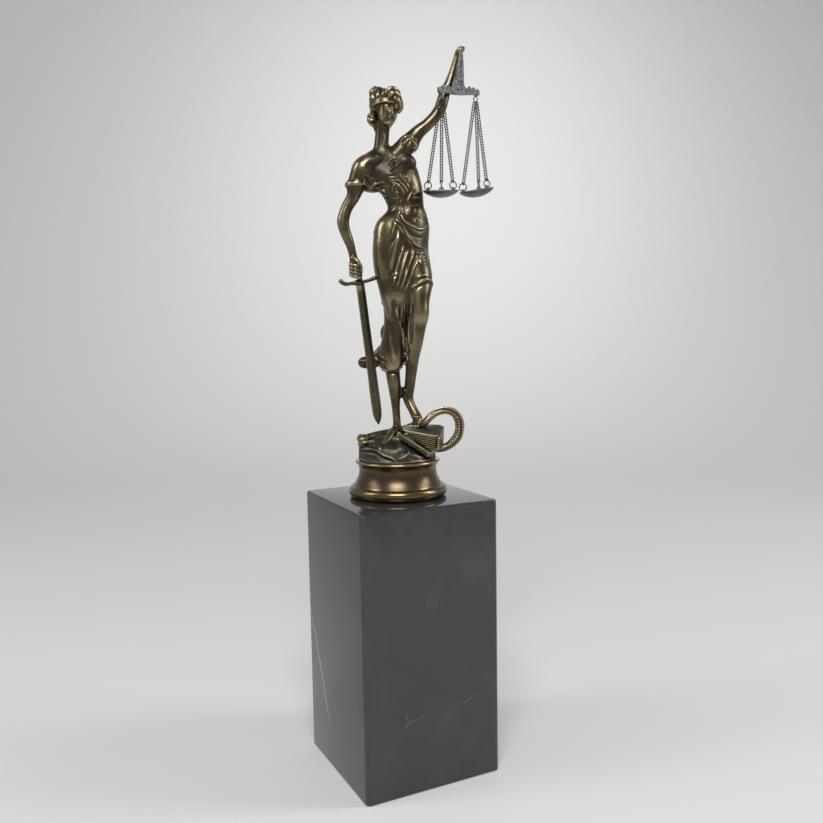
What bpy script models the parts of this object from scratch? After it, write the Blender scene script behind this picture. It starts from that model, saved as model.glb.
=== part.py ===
"""A blindfolded justice figure in cast bronze on a turned bronze socle and a black marble plinth.

The origin is the centre of the plinth's underside, +Z is up, and the plinth's broad front faces -Y.
The figure is laid out square to its three-quarter front view, with l to the right, a away and h up from the
top of the socle, and is then turned on the plinth by LAYOUT_TURN.
"""

import bmesh
import bpy
import numpy as np
from math import acos, atan2, cos, hypot, pi, radians, sin
from mathutils import Matrix, Vector, noise

GAP = 0.0003

PLINTH_SIDE = 0.100
PLINTH_HEIGHT = 0.190
PLINTH_CORNER_ROUND = 0.0032
PLINTH_EDGE_ROUND = 0.0014

SOCLE_TORUS_RADIUS = 0.0340
SOCLE_TORUS_HEIGHT = 0.0078
SOCLE_GROOVE_RADIUS = 0.0308
SOCLE_NECK_RADIUS = 0.0267
SOCLE_BELL_HEIGHT = 0.0107
SOCLE_RIM_RADIUS = 0.0293
SOCLE_RIM_THICKNESS = 0.0022
SOCLE_FLARE_HEIGHT = 0.0045

FIGURE_HEIGHT = 0.2776
SHARE = FIGURE_HEIGHT / 277.6
LAYOUT_TURN = radians(-26.6)
GROUND_INSET = 0.0024
CASTING_VOXEL_SHARE = 1 / 380
CASTING_KEPT_SHARE = 0.0284

GUARD_LENGTH = 0.0238
GUARD_THICKNESS = 0.0026
GUARD_HUB_SWELL = 0.55
GUARD_END_SWELL = 0.35
GUARD_RISE = 0.0018
GUARD_DROOP_SHARE = 0.12
GUARD_SHIFT = 0.0014
BLADE_WIDTH = 0.0070
BLADE_THICKNESS = 0.0027
GRIP_RADIUS = 0.0016
GRIP_LENGTH = 0.0075

BEAM_SPAN = 34.7 * SHARE
BEAM_DEPTH = 0.0044
BEAM_THICKNESS = 0.0020
BEAM_TILT = 0.085
BEAM_HANG_SHARE = 0.42
STEM_LENGTH = 24.0 * SHARE
STEM_FOOT_WIDTH = 0.0058
STEM_PIN_RADIUS = 0.0009
STEM_PIN_LENGTH = 0.0032
RING_WIRE_RADIUS = 0.00045
LINK_RING_RADIUS = 0.0019
PAN_RING_RADIUS = 0.0021
PAN_RADIUS = 12.0 * SHARE
PAN_DEPTH = 0.0046
PAN_WALL = 0.0009
PAN_LEAN = 9.0
LUG_INSET = 0.0016
LUG_RISE = 0.0010
LUG_RADIUS = 0.0012
LUG_WIRE_RADIUS = 0.00042
CHAIN_DROP = 58.1 * SHARE
CHAIN_PITCH = 0.0022
CHAIN_WIDTH = 0.0019
CHAIN_THICKNESS = 0.0009
CHAIN_SPREAD = 0.0011

SOCLE_TOP = PLINTH_HEIGHT + GAP + SOCLE_TORUS_HEIGHT + SOCLE_BELL_HEIGHT + SOCLE_FLARE_HEIGHT + SOCLE_RIM_THICKNESS
GROUND_LEVEL = SOCLE_TOP + GAP
UP = Vector((0, 0, 1))
GROUND_RADIUS = SOCLE_RIM_RADIUS - GROUND_INSET

TRUNK = (
    # h, l, a, half width, half depth, turn, rise across the front
    (104.0, 8.8, -3.5, 14.7, 12.5, 28, 0.42),
    (112.0, 8.1, -3.0, 17.1, 14.0, 28, 0.34),
    (120.0, 7.3, -2.0, 18.8, 14.6, 30, 0.22),
    (130.0, 5.9, -1.0, 20.6, 14.4, 30, 0.10),
    (141.0, 4.8, 0.0, 20.3, 14.2, 30, 0.0),
    (150.0, 5.4, 0.5, 20.2, 13.8, 30, 0.0),
    (157.5, 6.2, 1.0, 20.4, 13.4, 28, 0.0),
    (162.0, 6.5, 1.1, 19.0, 12.6, 26, 0.0),
    (165.5, 8.1, 1.2, 16.1, 10.9, 24, 0.0),
    (168.5, 9.1, 1.2, 13.4, 9.7, 22, 0.0),
    (171.5, 8.6, 1.2, 12.7, 9.2, 20, 0.0),
    (178.0, 6.9, 1.2, 14.2, 9.6, 18, 0.0),
    (185.0, 3.6, 1.0, 16.8, 10.2, 16, 0.0),
    (192.0, 0.2, 1.0, 18.4, 10.2, 14, 0.0),
    (198.0, -2.6, 1.2, 19.2, 8.8, 12, 0.0),
    (203.5, -3.6, 1.6, 15.6, 7.2, 10, 0.0),
    (208.5, -5.8, 2.0, 8.0, 5.6, 8, 0.0),
)
SKIRT = (
    (60.0, -3.6, 0.5, 5.6, 6.6, 20, 0.0),
    (63.0, -3.0, 1.0, 7.6, 8.6, 20, 0.0),
    (70.0, -1.6, 1.8, 9.8, 10.2, 20, 0.0),
    (80.0, -0.4, 2.0, 9.4, 10.4, 20, 0.0),
    (92.0, 0.9, 1.4, 8.4, 10.0, 20, 0.0),
    (106.0, 1.3, 0.6, 9.2, 10.6, 20, 0.0),
    (120.0, 1.0, 0.0, 12.2, 12.4, 25, 0.0),
    (134.0, 2.0, 0.0, 15.0, 13.0, 30, 0.0),
)
TRAIN = ((2, 8, 90, 6.6), (-3.4, 9.6, 77, 6.2), (-10, 9.4, 69.8, 4.8), (-17, 8, 66.2, 3.9), (-22.6, 5, 66.2, 3.5))
RIGHT_LEG = (
    (-3.4, 1, 74, 5.4), (-2.2, 0.6, 60, 5.0), (-1.4, 0, 52, 4.7), (-0.9, -0.5, 45, 4.0),
    (-0.6, -1, 38, 3.2), (-0.3, -1.5, 32, 2.8), (0.1, -1.8, 26, 2.8), (0.2, -1.6, 20, 3.0),
)
RIGHT_FOOT = ((0.6, 0.6, 19.5, 2.9), (-2.4, -4, 19.6, 3.0), (-5.2, -9.5, 15, 2.7), (-7.8, -14, 11.8, 2.6), (-9.2, -17, 10.4, 1.7))
LEFT_LEG = (
    (9, 0, 140, 13.0), (14.0, -5, 128, 11.4), (16.2, -9, 118, 9.6), (16.0, -13, 107, 7.6),
    (16.4, -15, 98, 6.7), (14.9, -13.6, 91, 6.2), (13.0, -10.5, 80, 5.9), (11.4, -7.5, 71, 5.2),
    (10.6, -4.5, 62.5, 3.9), (9.3, -2.6, 54, 3.1), (8.6, -2, 48, 2.9),
)
LEFT_FOOT = (
    (5.2, 1.2, 45.5, 2.9), (7.6, -1.2, 44.6, 2.9), (9.5, -3.4, 40.4, 2.4), (12.2, -6.2, 33.6, 2.4),
    (15.2, -9, 28, 2.9), (15.0, -12.4, 24.8, 2.3), (13.8, -15.2, 23.6, 1.6),
)
RIGHT_ARM = (
    (-10, -2.5, 199.5, 6.4), (-15.6, -3.8, 198.8, 6.8), (-19.2, -4.4, 195.2, 7.7), (-21.6, -5, 190, 7.0), (-24.3, -5.5, 183.6, 6.2),
    (-26.2, -6, 177, 4.6), (-29.9, -7, 171, 4.1), (-32.0, -7.8, 166, 4.1), (-33.2, -8.3, 160.5, 4.2),
    (-32.2, -8.8, 155, 3.8), (-30.4, -9.2, 150, 3.6), (-28.6, -9.5, 145, 3.1), (-27.3, -9.8, 139.5, 2.8),
    (-26.4, -10, 135, 3.0), (-26.0, -10, 131, 4.0),
)
LEFT_ARM = (
    (2, 2, 203, 7.6), (9, 2, 210.6, 6.6), (14.5, 2.4, 216.4, 5.6), (18.5, 2.8, 220.8, 4.7),
    (23, 3.3, 224.2, 4.2), (27, 3.8, 228.0, 4.0), (30.2, 4.3, 231.8, 4.0), (33.0, 4.8, 236.0, 4.1),
    (34.8, 5.3, 241.6, 4.1), (36.7, 5.8, 247.4, 3.7), (39.2, 6.2, 253, 3.0), (41.3, 6.6, 259, 2.6),
    (43.2, 6.9, 265, 2.4), (44.8, 7, 270, 2.4), (46.0, 7, 273.6, 2.3),
)
NECK = ((-5.2, 2, 201, 8.0), (-6.6, 2, 206.4, 6.0), (-7.0, 2, 212, 4.7), (-6.5, 1.8, 220, 4.3), (-5.8, 1.4, 227, 4.8))
SNAKE = (
    (-21, -6, 14.5, 3.4), (-14, -1, 16.3, 2.8), (-6, 3.5, 17.2, 2.8), (3, 5, 18.6, 2.8), (11, 3, 21.5, 2.8),
    (18.6, 0.5, 24.0, 2.6), (24.0, 1.6, 28.8, 2.4), (29.5, 2.6, 31.8, 2.4), (35.5, 3.6, 32.2, 2.5), (40.6, 4.4, 29.8, 2.8),
    (43.5, 5, 24, 3.1), (43.4, 5.2, 17.2, 3.1), (39.8, 5, 10.6, 2.9), (34, 4.2, 6.6, 2.6), (27.5, 3, 5.2, 2.3), (21, 1, 5.0, 2.0),
)

# Round lumps of the casting: centre l, a, h and half sizes, then turn about the upright
LUMPS = (
    (-4.2, 1.2, 239.0, 8.6, 9.6, 9.0, 12),
    (-6.9, 2.6, 238.0, 8.3, 7.6, 7.6, 0),
    (-3.0, -2.6, 231.6, 6.0, 6.2, 10.4, 12),
    (-8.6, 3.4, 246.8, 5.0, 5.4, 4.4, 0),
    (1.6, -4.2, 241.8, 4.4, 4.8, 4.2, 0),
    (3.8, -3.2, 236.4, 3.2, 4.2, 4.8, 0),
    (-13.8, 1.6, 229.4, 3.2, 3.2, 3.6, 0),
    (-10.4, 3.2, 223.4, 2.2, 2.4, 4.4, 0),
    (-25.5, -10, 128.3, 4.2, 4.8, 5.0, 0),
    (-25.0, -10.2, 126.8, 3.6, 4.2, 3.4, 0),
    (-13.6, -2.5, 186.0, 9.0, 6.0, 6.2, 14),
    (-24.2, -5.4, 185.0, 8.0, 7.6, 3.4, 0),
    (15.1, -1.6, 209.8, 2.8, 2.9, 2.9, 0),
    (11.2, 2, 212.4, 7.6, 7.4, 6.6, 14),
    (10.0, -4.8, 200.0, 6.2, 5.2, 6.0, 14),
    (-9.6, -6.4, 198.0, 6.4, 5.0, 6.0, 14),
    (46.9, 3.6, 273.4, 2.6, 3.1, 2.5, 0),
    (48.1, 4.6, 274.6, 1.5, 1.6, 1.5, 0),
    (-6.5, 6.0, 85.0, 3.1, 3.2, 4.4, 0),
    (-23.6, -8.5, 14.0, 5.0, 5.2, 5.0, 0),
    (-18.6, -11, 11.4, 5.6, 5.0, 3.6, 0),
)

# Carved cords and hems on the near side of the figure: across l and up h, then the half thickness
BELT_CORDS = (
    ((-3.0, 166), (2.5, 160), (8, 156), (15, 154.0), (21.5, 157.0), (25.2, 161)),
    ((-6.0, 163), (-2.0, 160), (1.5, 154), (5.5, 147), (13, 142.5), (20.6, 141.5)),
)
FOLD_LINES = (
    ((-4, 160), (-3, 150), (-4, 138), (-5, 124)),
    ((0, 152), (1.5, 142), (0.5, 130), (-3, 116)),
    ((5, 146), (6.5, 136), (5.0, 126), (0.5, 114)),
    ((11, 141), (11.5, 131), (8.8, 123), (4.6, 112)),
    ((18, 140), (16.4, 132), (13.0, 124), (8.0, 113)),
)
SKIRT_LINES = (
    ((4.6, 112), (4.0, 100), (5.6, 86), (7.4, 74)),
    ((0.2, 114), (-0.4, 98), (1.2, 82), (1.0, 66)),
)
CORD_RADIUS = 0.9
FOLD_RADIUS = 1.3

BOOK_TOP = ((6.0, 6.5, 23.0), (31.6, 5.0, 22.4), (28.0, -15.8, 15.0), (0.4, -15.6, 19.4))
BOOK_FOOT = ((3.0, 6.5, 12.0), (30.4, 4.0, 6.0), (24.2, -15.5, 1.2), (-0.6, -15.0, 16.6))
BOOK_COVER = 1.7
BOOK_PAGE_INSET = 1.3
BOOK_PAGE_LINES = 6
BOOK_LINE_DEPTH = 0.7

GRIP_FOOT = (-22.7, -10.3, 120.2)
BLADE_TIP = (-12.2, -8.0, 24.2)
BLADE_ACROSS = (1, 0.42)
STEM_HELD = (47.2, 2.9, 271.0)
STEM_LEAN = (-1.7, 0.8)
BEAM_ACROSS = (28.3, 20.0)

# Share of the blade's length and of its width
BLADE_OUTLINE = ((0, 0.86), (0.45, 0.90), (0.80, 1.0), (0.91, 0.96), (0.965, 0.62), (1.0, 0.06))
# Share across the beam, drop of the middle line and depth, both as shares of the beam's depth
BEAM_OUTLINE = ((-0.5, 0.2, 0.75), (-0.44, 0.1, 1.0), (-0.25, 0.1, 0.9), (0, -0.05, 1.15), (0.25, 0.1, 0.9), (0.44, 0.1, 1.0), (0.5, 0.2, 0.75))
# Share up the stem and of its foot's width
STEM_OUTLINE = ((0.0, 1.15), (0.22, 1.0), (0.3, 0.92), (0.62, 0.66), (1.0, 0.32))
# For each pan: name, side of the beam, sway across, tilt in degrees and the first lug's bearing
PANS = (("left", -1, -1.3, 0.0, 150), ("right", 1, 0.0, 8.0, 156))

BRONZE = ("dark_bronze", (0.105, 0.075, 0.040), 0.36, 0.9)
SOCLE_BRONZE = ("turned_bronze", (0.16, 0.105, 0.045), 0.30, 0.9)
SCALE_METAL = ("scale_metal", (0.16, 0.17, 0.19), 0.42, 0.9)
MARBLE = ("black_marble", (0.018, 0.018, 0.020), 0.08, 0.0)


def clear_scene():
    for old in list(bpy.data.objects):
        bpy.data.objects.remove(old, do_unlink=True)


def new_collection(name):
    made = bpy.data.collections.new(name)
    bpy.context.scene.collection.children.link(made)
    return made


def make_material(name, colour, roughness, metallic):
    made = bpy.data.materials.new(name)
    made.use_nodes = True
    shader = made.node_tree.nodes["Principled BSDF"]
    shader.inputs["Base Color"].default_value = (*colour, 1)
    shader.inputs["Roughness"].default_value = roughness
    shader.inputs["Metallic"].default_value = metallic
    return made


def add_object(name, mesh, material):
    made = bpy.data.objects.new(name, mesh)
    statue.objects.link(made)
    mesh.materials.clear()
    mesh.materials.append(material)
    mesh.shade_smooth()
    mesh.set_sharp_from_angle(angle=radians(40))
    return made


def mesh_from(bm, name):
    bmesh.ops.recalc_face_normals(bm, faces=bm.faces)
    mesh = bpy.data.meshes.new(name)
    bm.to_mesh(mesh)
    bm.free()
    return mesh


def placed(l, a, h):
    """A layout point as world metres."""
    x = l * cos(LAYOUT_TURN) - a * sin(LAYOUT_TURN)
    y = l * sin(LAYOUT_TURN) + a * cos(LAYOUT_TURN)
    return Vector((x * SHARE, y * SHARE, GROUND_LEVEL + h * SHARE))


def direction(l, a, h=0.0):
    """A layout direction as a world unit vector."""
    return (placed(l, a, h) - placed(0, 0, 0)).normalized()


def between(rows, steps):
    """The rows with steps - 1 more between each pair, on a smooth curve through all of them."""
    rows = np.array(rows, float)
    ends = np.vstack([2 * rows[0] - rows[1], rows, 2 * rows[-1] - rows[-2]])
    out = []
    for i in range(1, len(ends) - 2):
        before, start, end, after = ends[i - 1 : i + 3]
        for t in np.arange(steps) / steps:
            out.append(
                0.5 * (2 * start + (end - before) * t + (2 * before - 5 * start + 4 * end - after) * t**2
                       + (3 * start - before - 3 * end + after) * t**3)
            )
    out.append(rows[-1])
    return np.array(out)


def skin(bm, rings):
    """Closes a row of rings of points into one body, with a fan at each end."""
    loops = [[bm.verts.new(point) for point in ring] for ring in rings]
    count = len(loops[0])
    for low, high in zip(loops, loops[1:]):
        for i in range(count):
            j = (i + 1) % count
            bm.faces.new((low[i], low[j], high[j], high[i]))
    for loop, backwards in ((loops[0], True), (loops[-1], False)):
        middle = bm.verts.new(sum((v.co for v in loop), Vector()) / count)
        for i in range(count):
            pair = (loop[(i + 1) % count], loop[i]) if backwards else (loop[i], loop[(i + 1) % count])
            bm.faces.new((*pair, middle))


def tube(bm, rows, sides=10, steps=3):
    """A limb through rows of l, a, h and radius, with rounded ends."""
    rows = between(rows, steps)
    points = [placed(*row[:3]) for row in rows]
    radii = [max(row[3], 0.2) * SHARE for row in rows]
    for end, inner in ((0, 1), (-1, -2)):
        outward = (points[end] - points[inner]).normalized()
        tips = [points[end] + outward * radii[end] * reach for reach in (0.55, 0.9)]
        sizes = [radii[end] * size for size in (0.83, 0.42)]
        if end == 0:
            points[:0] = tips[::-1]
            radii[:0] = sizes[::-1]
        else:
            points += tips
            radii += sizes
    side = (points[1] - points[0]).orthogonal().normalized()
    rings = []
    for i, (point, radius) in enumerate(zip(points, radii)):
        along = (points[min(i + 1, len(points) - 1)] - points[max(i - 1, 0)]).normalized()
        side = (side - along * side.dot(along)).normalized()
        up = along.cross(side)
        rings.append([point + (side * cos(t) + up * sin(t)) * radius for t in np.linspace(0, 2 * pi, sides, endpoint=False)])
    skin(bm, rings)


def section(rows, h):
    """The trunk's or skirt's section at a height, read smoothly between its stations."""
    rows = np.array(rows, float)
    fine = between(rows, 8)
    return [float(np.interp(h, fine[:, 0], fine[:, i])) for i in range(1, 7)]


def on_front(rows, l, h, lift=0.0):
    """The point of the near side that lies across at l and up at h."""
    middle_l, middle_a, wide, deep, turn = section(rows, h)[:5]
    turn = radians(turn)
    reach = hypot(wide * cos(turn), deep * sin(turn))
    share = max(-0.985, min(0.985, (l - middle_l) / reach))
    angle = -atan2(deep * sin(turn), wide * cos(turn)) - acos(share)
    out_l = wide * cos(angle) * cos(turn) - deep * sin(angle) * sin(turn)
    out_a = wide * cos(angle) * sin(turn) + deep * sin(angle) * cos(turn)
    grow = 1 + lift / hypot(out_l, out_a)
    return middle_l + out_l * grow, middle_a + out_a * grow, h


def body(bm, rows, sides=32, steps=3):
    """A lofted body of turned ellipses, such as the trunk."""
    rings = []
    for h, l, a, wide, deep, turn, rise in between(rows, steps):
        ring = []
        for t in np.linspace(0, 2 * pi, sides, endpoint=False):
            x, y = wide * cos(t), deep * sin(t)
            turned = radians(turn)
            across = x * cos(turned) - y * sin(turned)
            ring.append(placed(l + across, a + x * sin(turned) + y * cos(turned), h + rise * across))
        rings.append(ring)
    skin(bm, rings)


def lump(bm, l, a, h, half_l, half_a, half_h, turn):
    """A rounded mass, such as the head, a fist or a curl."""
    shape = (
        Matrix.Translation(placed(l, a, h))
        @ Matrix.Rotation(LAYOUT_TURN + radians(turn), 4, "Z")
        @ Matrix.Diagonal((half_l * SHARE, half_a * SHARE, half_h * SHARE, 1))
    )
    bmesh.ops.create_uvsphere(bm, u_segments=16, v_segments=10, radius=1, matrix=shape)


def carve_line(bm, rows, line, radius):
    """A raised line on the near side of the trunk or skirt."""
    points = [(*on_front(rows, l, h, lift=0.2 * radius), radius) for l, h in between(line, 3)]
    tube(bm, points, sides=6, steps=1)


def ground(bm):
    """The rocky ground: a low drum with an uneven top, as wide as the socle's rim less its inset."""
    rings = []
    for h, share in ((0, 1.0), (3, 1.0), (6.5, 0.99), (9.5, 0.95), (12, 0.84), (14, 0.66), (15.6, 0.44), (16.6, 0.2)):
        ring = []
        for t in np.linspace(0, 2 * pi, 36, endpoint=False):
            rough = noise.noise(Vector((3 * cos(t), 3 * sin(t), h * 0.12)))
            radius = GROUND_RADIUS / SHARE * share * (1 + 0.05 * rough * (h > 0))
            near = max(0.0, -sin(t)) * share
            ring.append(placed(radius * cos(t), radius * sin(t), h * (1 - 0.28 * near) + 0.9 * rough * (h > 9)))
        rings.append(ring)
    skin(bm, rings)
    tube(bm, ((-25.0, -7, 9.4, 1.0), (-17, -19, 6.6, 1.0), (-8, -24.4, 3.4, 1.0), (0, -26.0, 1.4, 0.9)), sides=6)


def hull(bm, points):
    corners = [bm.verts.new(placed(*point)) for point in points]
    made = bmesh.ops.convex_hull(bm, input=corners)
    spare = [item for item in made["geom_interior"] if isinstance(item, bmesh.types.BMVert)]
    bmesh.ops.delete(bm, geom=spare, context="VERTS")


def book(bm):
    """A book lying open-edged on the ground, its covers proud of the ruled block of pages."""
    top = [Vector(corner) for corner in BOOK_TOP]
    foot = [Vector(corner) for corner in BOOK_FOOT]
    cover = Vector((0, 0, BOOK_COVER))
    hull(bm, top + [corner - cover for corner in top])
    hull(bm, foot + [corner + cover for corner in foot])
    middle = sum(top + foot, Vector()) / 8
    layers = 2 * BOOK_PAGE_LINES + 1
    for layer in range(layers):
        inset = BOOK_PAGE_INSET + (BOOK_LINE_DEPTH if layer % 2 else 0)
        levels = []
        for share in (layer / layers, (layer + 1) / layers):
            for low, high in zip(foot, top):
                point = (low + cover * 0.5).lerp(high - cover * 0.5, share)
                inward = Vector((middle.x - point.x, middle.y - point.y, 0)).normalized()
                levels.append(point + inward * inset * 1.4)
        hull(bm, levels)


def blindfold(bm):
    """The folded band around the head, with its knot behind."""
    for h, half in ((236.4, 1.5), (238.2, 1.4)):
        ring = []
        for t in np.linspace(0, 2 * pi, 25):
            turned = radians(12)
            x, y = 8.7 * cos(t), 9.7 * sin(t) + (0.3 if sin(t) < 0 else 0)
            ring.append((-4.1 + x * cos(turned) - y * sin(turned), 0.8 + x * sin(turned) + y * cos(turned), h - 0.6 * sin(t), half))
        tube(bm, ring, sides=6, steps=1)
    lump(bm, -7.5, 10.6, 236.6, 2.6, 2.2, 2.4, 0)


def fist_fingers(bm):
    """Four fingers wrapped round the grip, and the thumb."""
    for finger in range(4):
        h = 133.4 - 2.7 * finger
        tube(bm, ((-23.2, -13.0, h - 0.6, 1.6), (-25.6, -14.6, h, 1.7), (-28.4, -12.4, h + 0.4, 1.7)), sides=8)
    tube(bm, ((-25.4, -9.5, 134, 1.8), (-23.2, -11.6, 130, 1.8), (-23.3, -13.4, 126.6, 1.6)), sides=8)


def make_figure(material):
    """The whole casting: woman, drapery, ground, book and snake fused into one skin."""
    bm = bmesh.new()
    body(bm, TRUNK)
    body(bm, SKIRT)
    for rows in (TRAIN, RIGHT_LEG, RIGHT_FOOT, LEFT_LEG, LEFT_FOOT, RIGHT_ARM, LEFT_ARM, NECK, SNAKE):
        tube(bm, rows, sides=14)
    for row in LUMPS:
        lump(bm, *row)
    for line in BELT_CORDS:
        carve_line(bm, TRUNK, line, CORD_RADIUS)
    for line in FOLD_LINES:
        carve_line(bm, TRUNK, line, FOLD_RADIUS)
    for line in SKIRT_LINES:
        carve_line(bm, SKIRT, line, FOLD_RADIUS)
    ground(bm)
    book(bm)
    blindfold(bm)
    fist_fingers(bm)
    figure = add_object("justice_figure", mesh_from(bm, "justice_figure"), material)
    fuse = figure.modifiers.new("fuse", "REMESH")
    fuse.mode = "VOXEL"
    fuse.voxel_size = FIGURE_HEIGHT * CASTING_VOXEL_SHARE
    fuse.use_smooth_shade = True
    thin = figure.modifiers.new("thin", "DECIMATE")
    thin.ratio = CASTING_KEPT_SHARE
    return figure


def combine(target, name, mesh, operation):
    """Cuts a closed mesh out of the target, or fuses it with the target."""
    tool = bpy.data.objects.new(name, mesh)
    tools.objects.link(tool)
    tool.hide_render = True
    tool.display_type = "WIRE"
    step = target.modifiers.new(name, "BOOLEAN")
    step.operation = operation
    step.object = tool


def rod(name, foot, top, radius, sides=12):
    """A round bar from one point to another."""
    bm = bmesh.new()
    turned = (top - foot).to_track_quat("Z", "Y").to_matrix().to_4x4()
    bmesh.ops.create_cone(
        bm, cap_ends=True, segments=sides, radius1=radius, radius2=radius, depth=(top - foot).length,
        matrix=Matrix.Translation((foot + top) / 2) @ turned,
    )
    return mesh_from(bm, name)


def cut_socket(figure, name, foot, top, radius):
    """A round hole in the casting, a clearance larger all round than the pin that it holds."""
    beyond = (top - foot).normalized() * GAP
    combine(figure, name, rod(name, foot - beyond, top + beyond, radius + GAP), "DIFFERENCE")


def make_plinth(material):
    bm = bmesh.new()
    size = Matrix.Diagonal((PLINTH_SIDE, PLINTH_SIDE, PLINTH_HEIGHT, 1))
    bmesh.ops.create_cube(bm, size=1, matrix=Matrix.Translation((0, 0, PLINTH_HEIGHT / 2)) @ size)
    upright = [edge for edge in bm.edges if abs(edge.verts[0].co.z - edge.verts[1].co.z) > PLINTH_HEIGHT / 2]
    bmesh.ops.bevel(bm, geom=upright, offset=PLINTH_CORNER_ROUND, segments=4, profile=0.5, affect="EDGES")
    level = [edge for edge in bm.edges if abs(edge.verts[0].co.z - edge.verts[1].co.z) < PLINTH_EDGE_ROUND]
    bmesh.ops.bevel(bm, geom=level, offset=PLINTH_EDGE_ROUND, segments=2, profile=0.5, affect="EDGES")
    return add_object("marble_plinth", mesh_from(bm, "marble_plinth"), material)


def turned(name, profile, steps, material):
    """A profile of radii and heights, from the axis down its outer side, turned about Z."""
    mesh = bpy.data.meshes.new(name)
    mesh.from_pydata([(r, 0, z) for r, z in profile], [(i, i + 1) for i in range(len(profile) - 1)], [])
    made = add_object(name, mesh, material)
    turn = made.modifiers.new("turned", "SCREW")
    turn.steps = turn.render_steps = steps
    turn.use_merge_vertices = True
    turn.merge_threshold = 0.00001
    return made


def make_socle(material):
    """The turned foot: torus, groove, hollow bell and flared rim, as one profile on a Screw."""
    foot = PLINTH_HEIGHT + GAP
    groove = foot + SOCLE_TORUS_HEIGHT
    neck = groove + SOCLE_BELL_HEIGHT
    rim = neck + SOCLE_FLARE_HEIGHT
    profile = [(0.0, SOCLE_TOP), (SOCLE_RIM_RADIUS - SOCLE_RIM_THICKNESS / 2, SOCLE_TOP)]
    for t in np.linspace(pi / 2, -pi / 2, 5)[1:-1]:
        profile.append((SOCLE_RIM_RADIUS + SOCLE_RIM_THICKNESS / 2 * (cos(t) - 1), rim + SOCLE_RIM_THICKNESS / 2 * (1 + sin(t))))
    for t in np.linspace(0, 1, 4):
        profile.append((SOCLE_NECK_RADIUS + (SOCLE_RIM_RADIUS - SOCLE_RIM_THICKNESS / 2 - SOCLE_NECK_RADIUS) * (1 - t) ** 2,
                        rim - t * SOCLE_FLARE_HEIGHT))
    for t in np.linspace(0, 1, 5)[1:]:
        profile.append((SOCLE_NECK_RADIUS + (SOCLE_GROOVE_RADIUS - SOCLE_NECK_RADIUS) * t**2, neck - t * SOCLE_BELL_HEIGHT))
    for t in np.linspace(pi / 2, -pi / 2, 7):
        swell = SOCLE_TORUS_RADIUS - SOCLE_GROOVE_RADIUS
        profile.append((SOCLE_GROOVE_RADIUS + swell * cos(t), foot + SOCLE_TORUS_HEIGHT / 2 * (1 + sin(t)) * 0.98))
    profile.append((0.0, foot))
    turned("bronze_socle", profile, 32, material)


def make_sword(figure, material):
    """Blade, guard and grip as one body, its grip let into a socket of the fist."""
    guard, tip = placed(*GRIP_FOOT), placed(*BLADE_TIP)
    along = (tip - guard).normalized()
    through = along.cross(direction(*BLADE_ACROSS)).normalized()
    across = through.cross(along)
    bm = bmesh.new()
    rings = []
    for share, width in BLADE_OUTLINE:
        middle = guard.lerp(tip, share)
        half = across * (BLADE_WIDTH / 2 * width)
        ridge = through * (BLADE_THICKNESS / 2 * max(width, 0.2))
        rings.append([middle + half, middle + ridge, middle - half, middle - ridge])
    skin(bm, rings)
    sword = add_object("sword", mesh_from(bm, "sword"), material)
    bm = bmesh.new()
    rings = []
    for share in np.linspace(-1, 1, 11):
        lift = GUARD_RISE * share**2 * (1 if share > 0 else -GUARD_DROOP_SHARE)
        middle = guard + across * (share * GUARD_LENGTH / 2 - GUARD_SHIFT) - along * lift
        radius = GUARD_THICKNESS / 2 * (1 + GUARD_END_SWELL * share**2 + GUARD_HUB_SWELL * max(0, 1 - (3 * share) ** 2))
        rings.append([middle + (through * cos(t) + along * sin(t)) * radius for t in np.linspace(0, 2 * pi, 8, endpoint=False)])
    skin(bm, rings)
    combine(sword, "guard", mesh_from(bm, "guard"), "UNION")
    grip_top = guard - along * GRIP_LENGTH
    combine(sword, "grip", rod("grip", guard, grip_top, GRIP_RADIUS), "UNION")
    cut_socket(figure, "grip_socket", guard, grip_top, GRIP_RADIUS)


def torus(centre, axis, radius, wire, sides=10):
    """A torus of few sides, standing square to its axis."""
    bpy.ops.mesh.primitive_torus_add(major_radius=radius, minor_radius=wire, major_segments=sides, minor_segments=4)
    made = bpy.context.active_object
    mesh = made.data
    bpy.data.objects.remove(made, do_unlink=True)
    mesh.transform(Matrix.Translation(centre) @ axis.to_track_quat("Z", "Y").to_matrix().to_4x4())
    return mesh


def make_ring(name, centre, axis, radius, material):
    mesh = torus(centre, axis, radius, RING_WIRE_RADIUS)
    mesh.name = name
    add_object(name, mesh, material)


def make_chain(name, top, foot, material):
    """A chain as one slim body whose width swaps sides at every link."""
    along = (foot - top).normalized()
    side = along.orthogonal().normalized()
    up = along.cross(side)
    count = round((foot - top).length / CHAIN_PITCH)
    bm = bmesh.new()
    rings = []
    for i in range(count + 1):
        point = top.lerp(foot, i / count)
        wide, thin = (CHAIN_WIDTH / 2, CHAIN_THICKNESS / 2) if i % 2 else (CHAIN_THICKNESS / 2, CHAIN_WIDTH / 2)
        rings.append([point + side * wide, point + up * thin, point - side * wide, point - up * thin])
    skin(bm, rings)
    add_object(name, mesh_from(bm, name), material)


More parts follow.
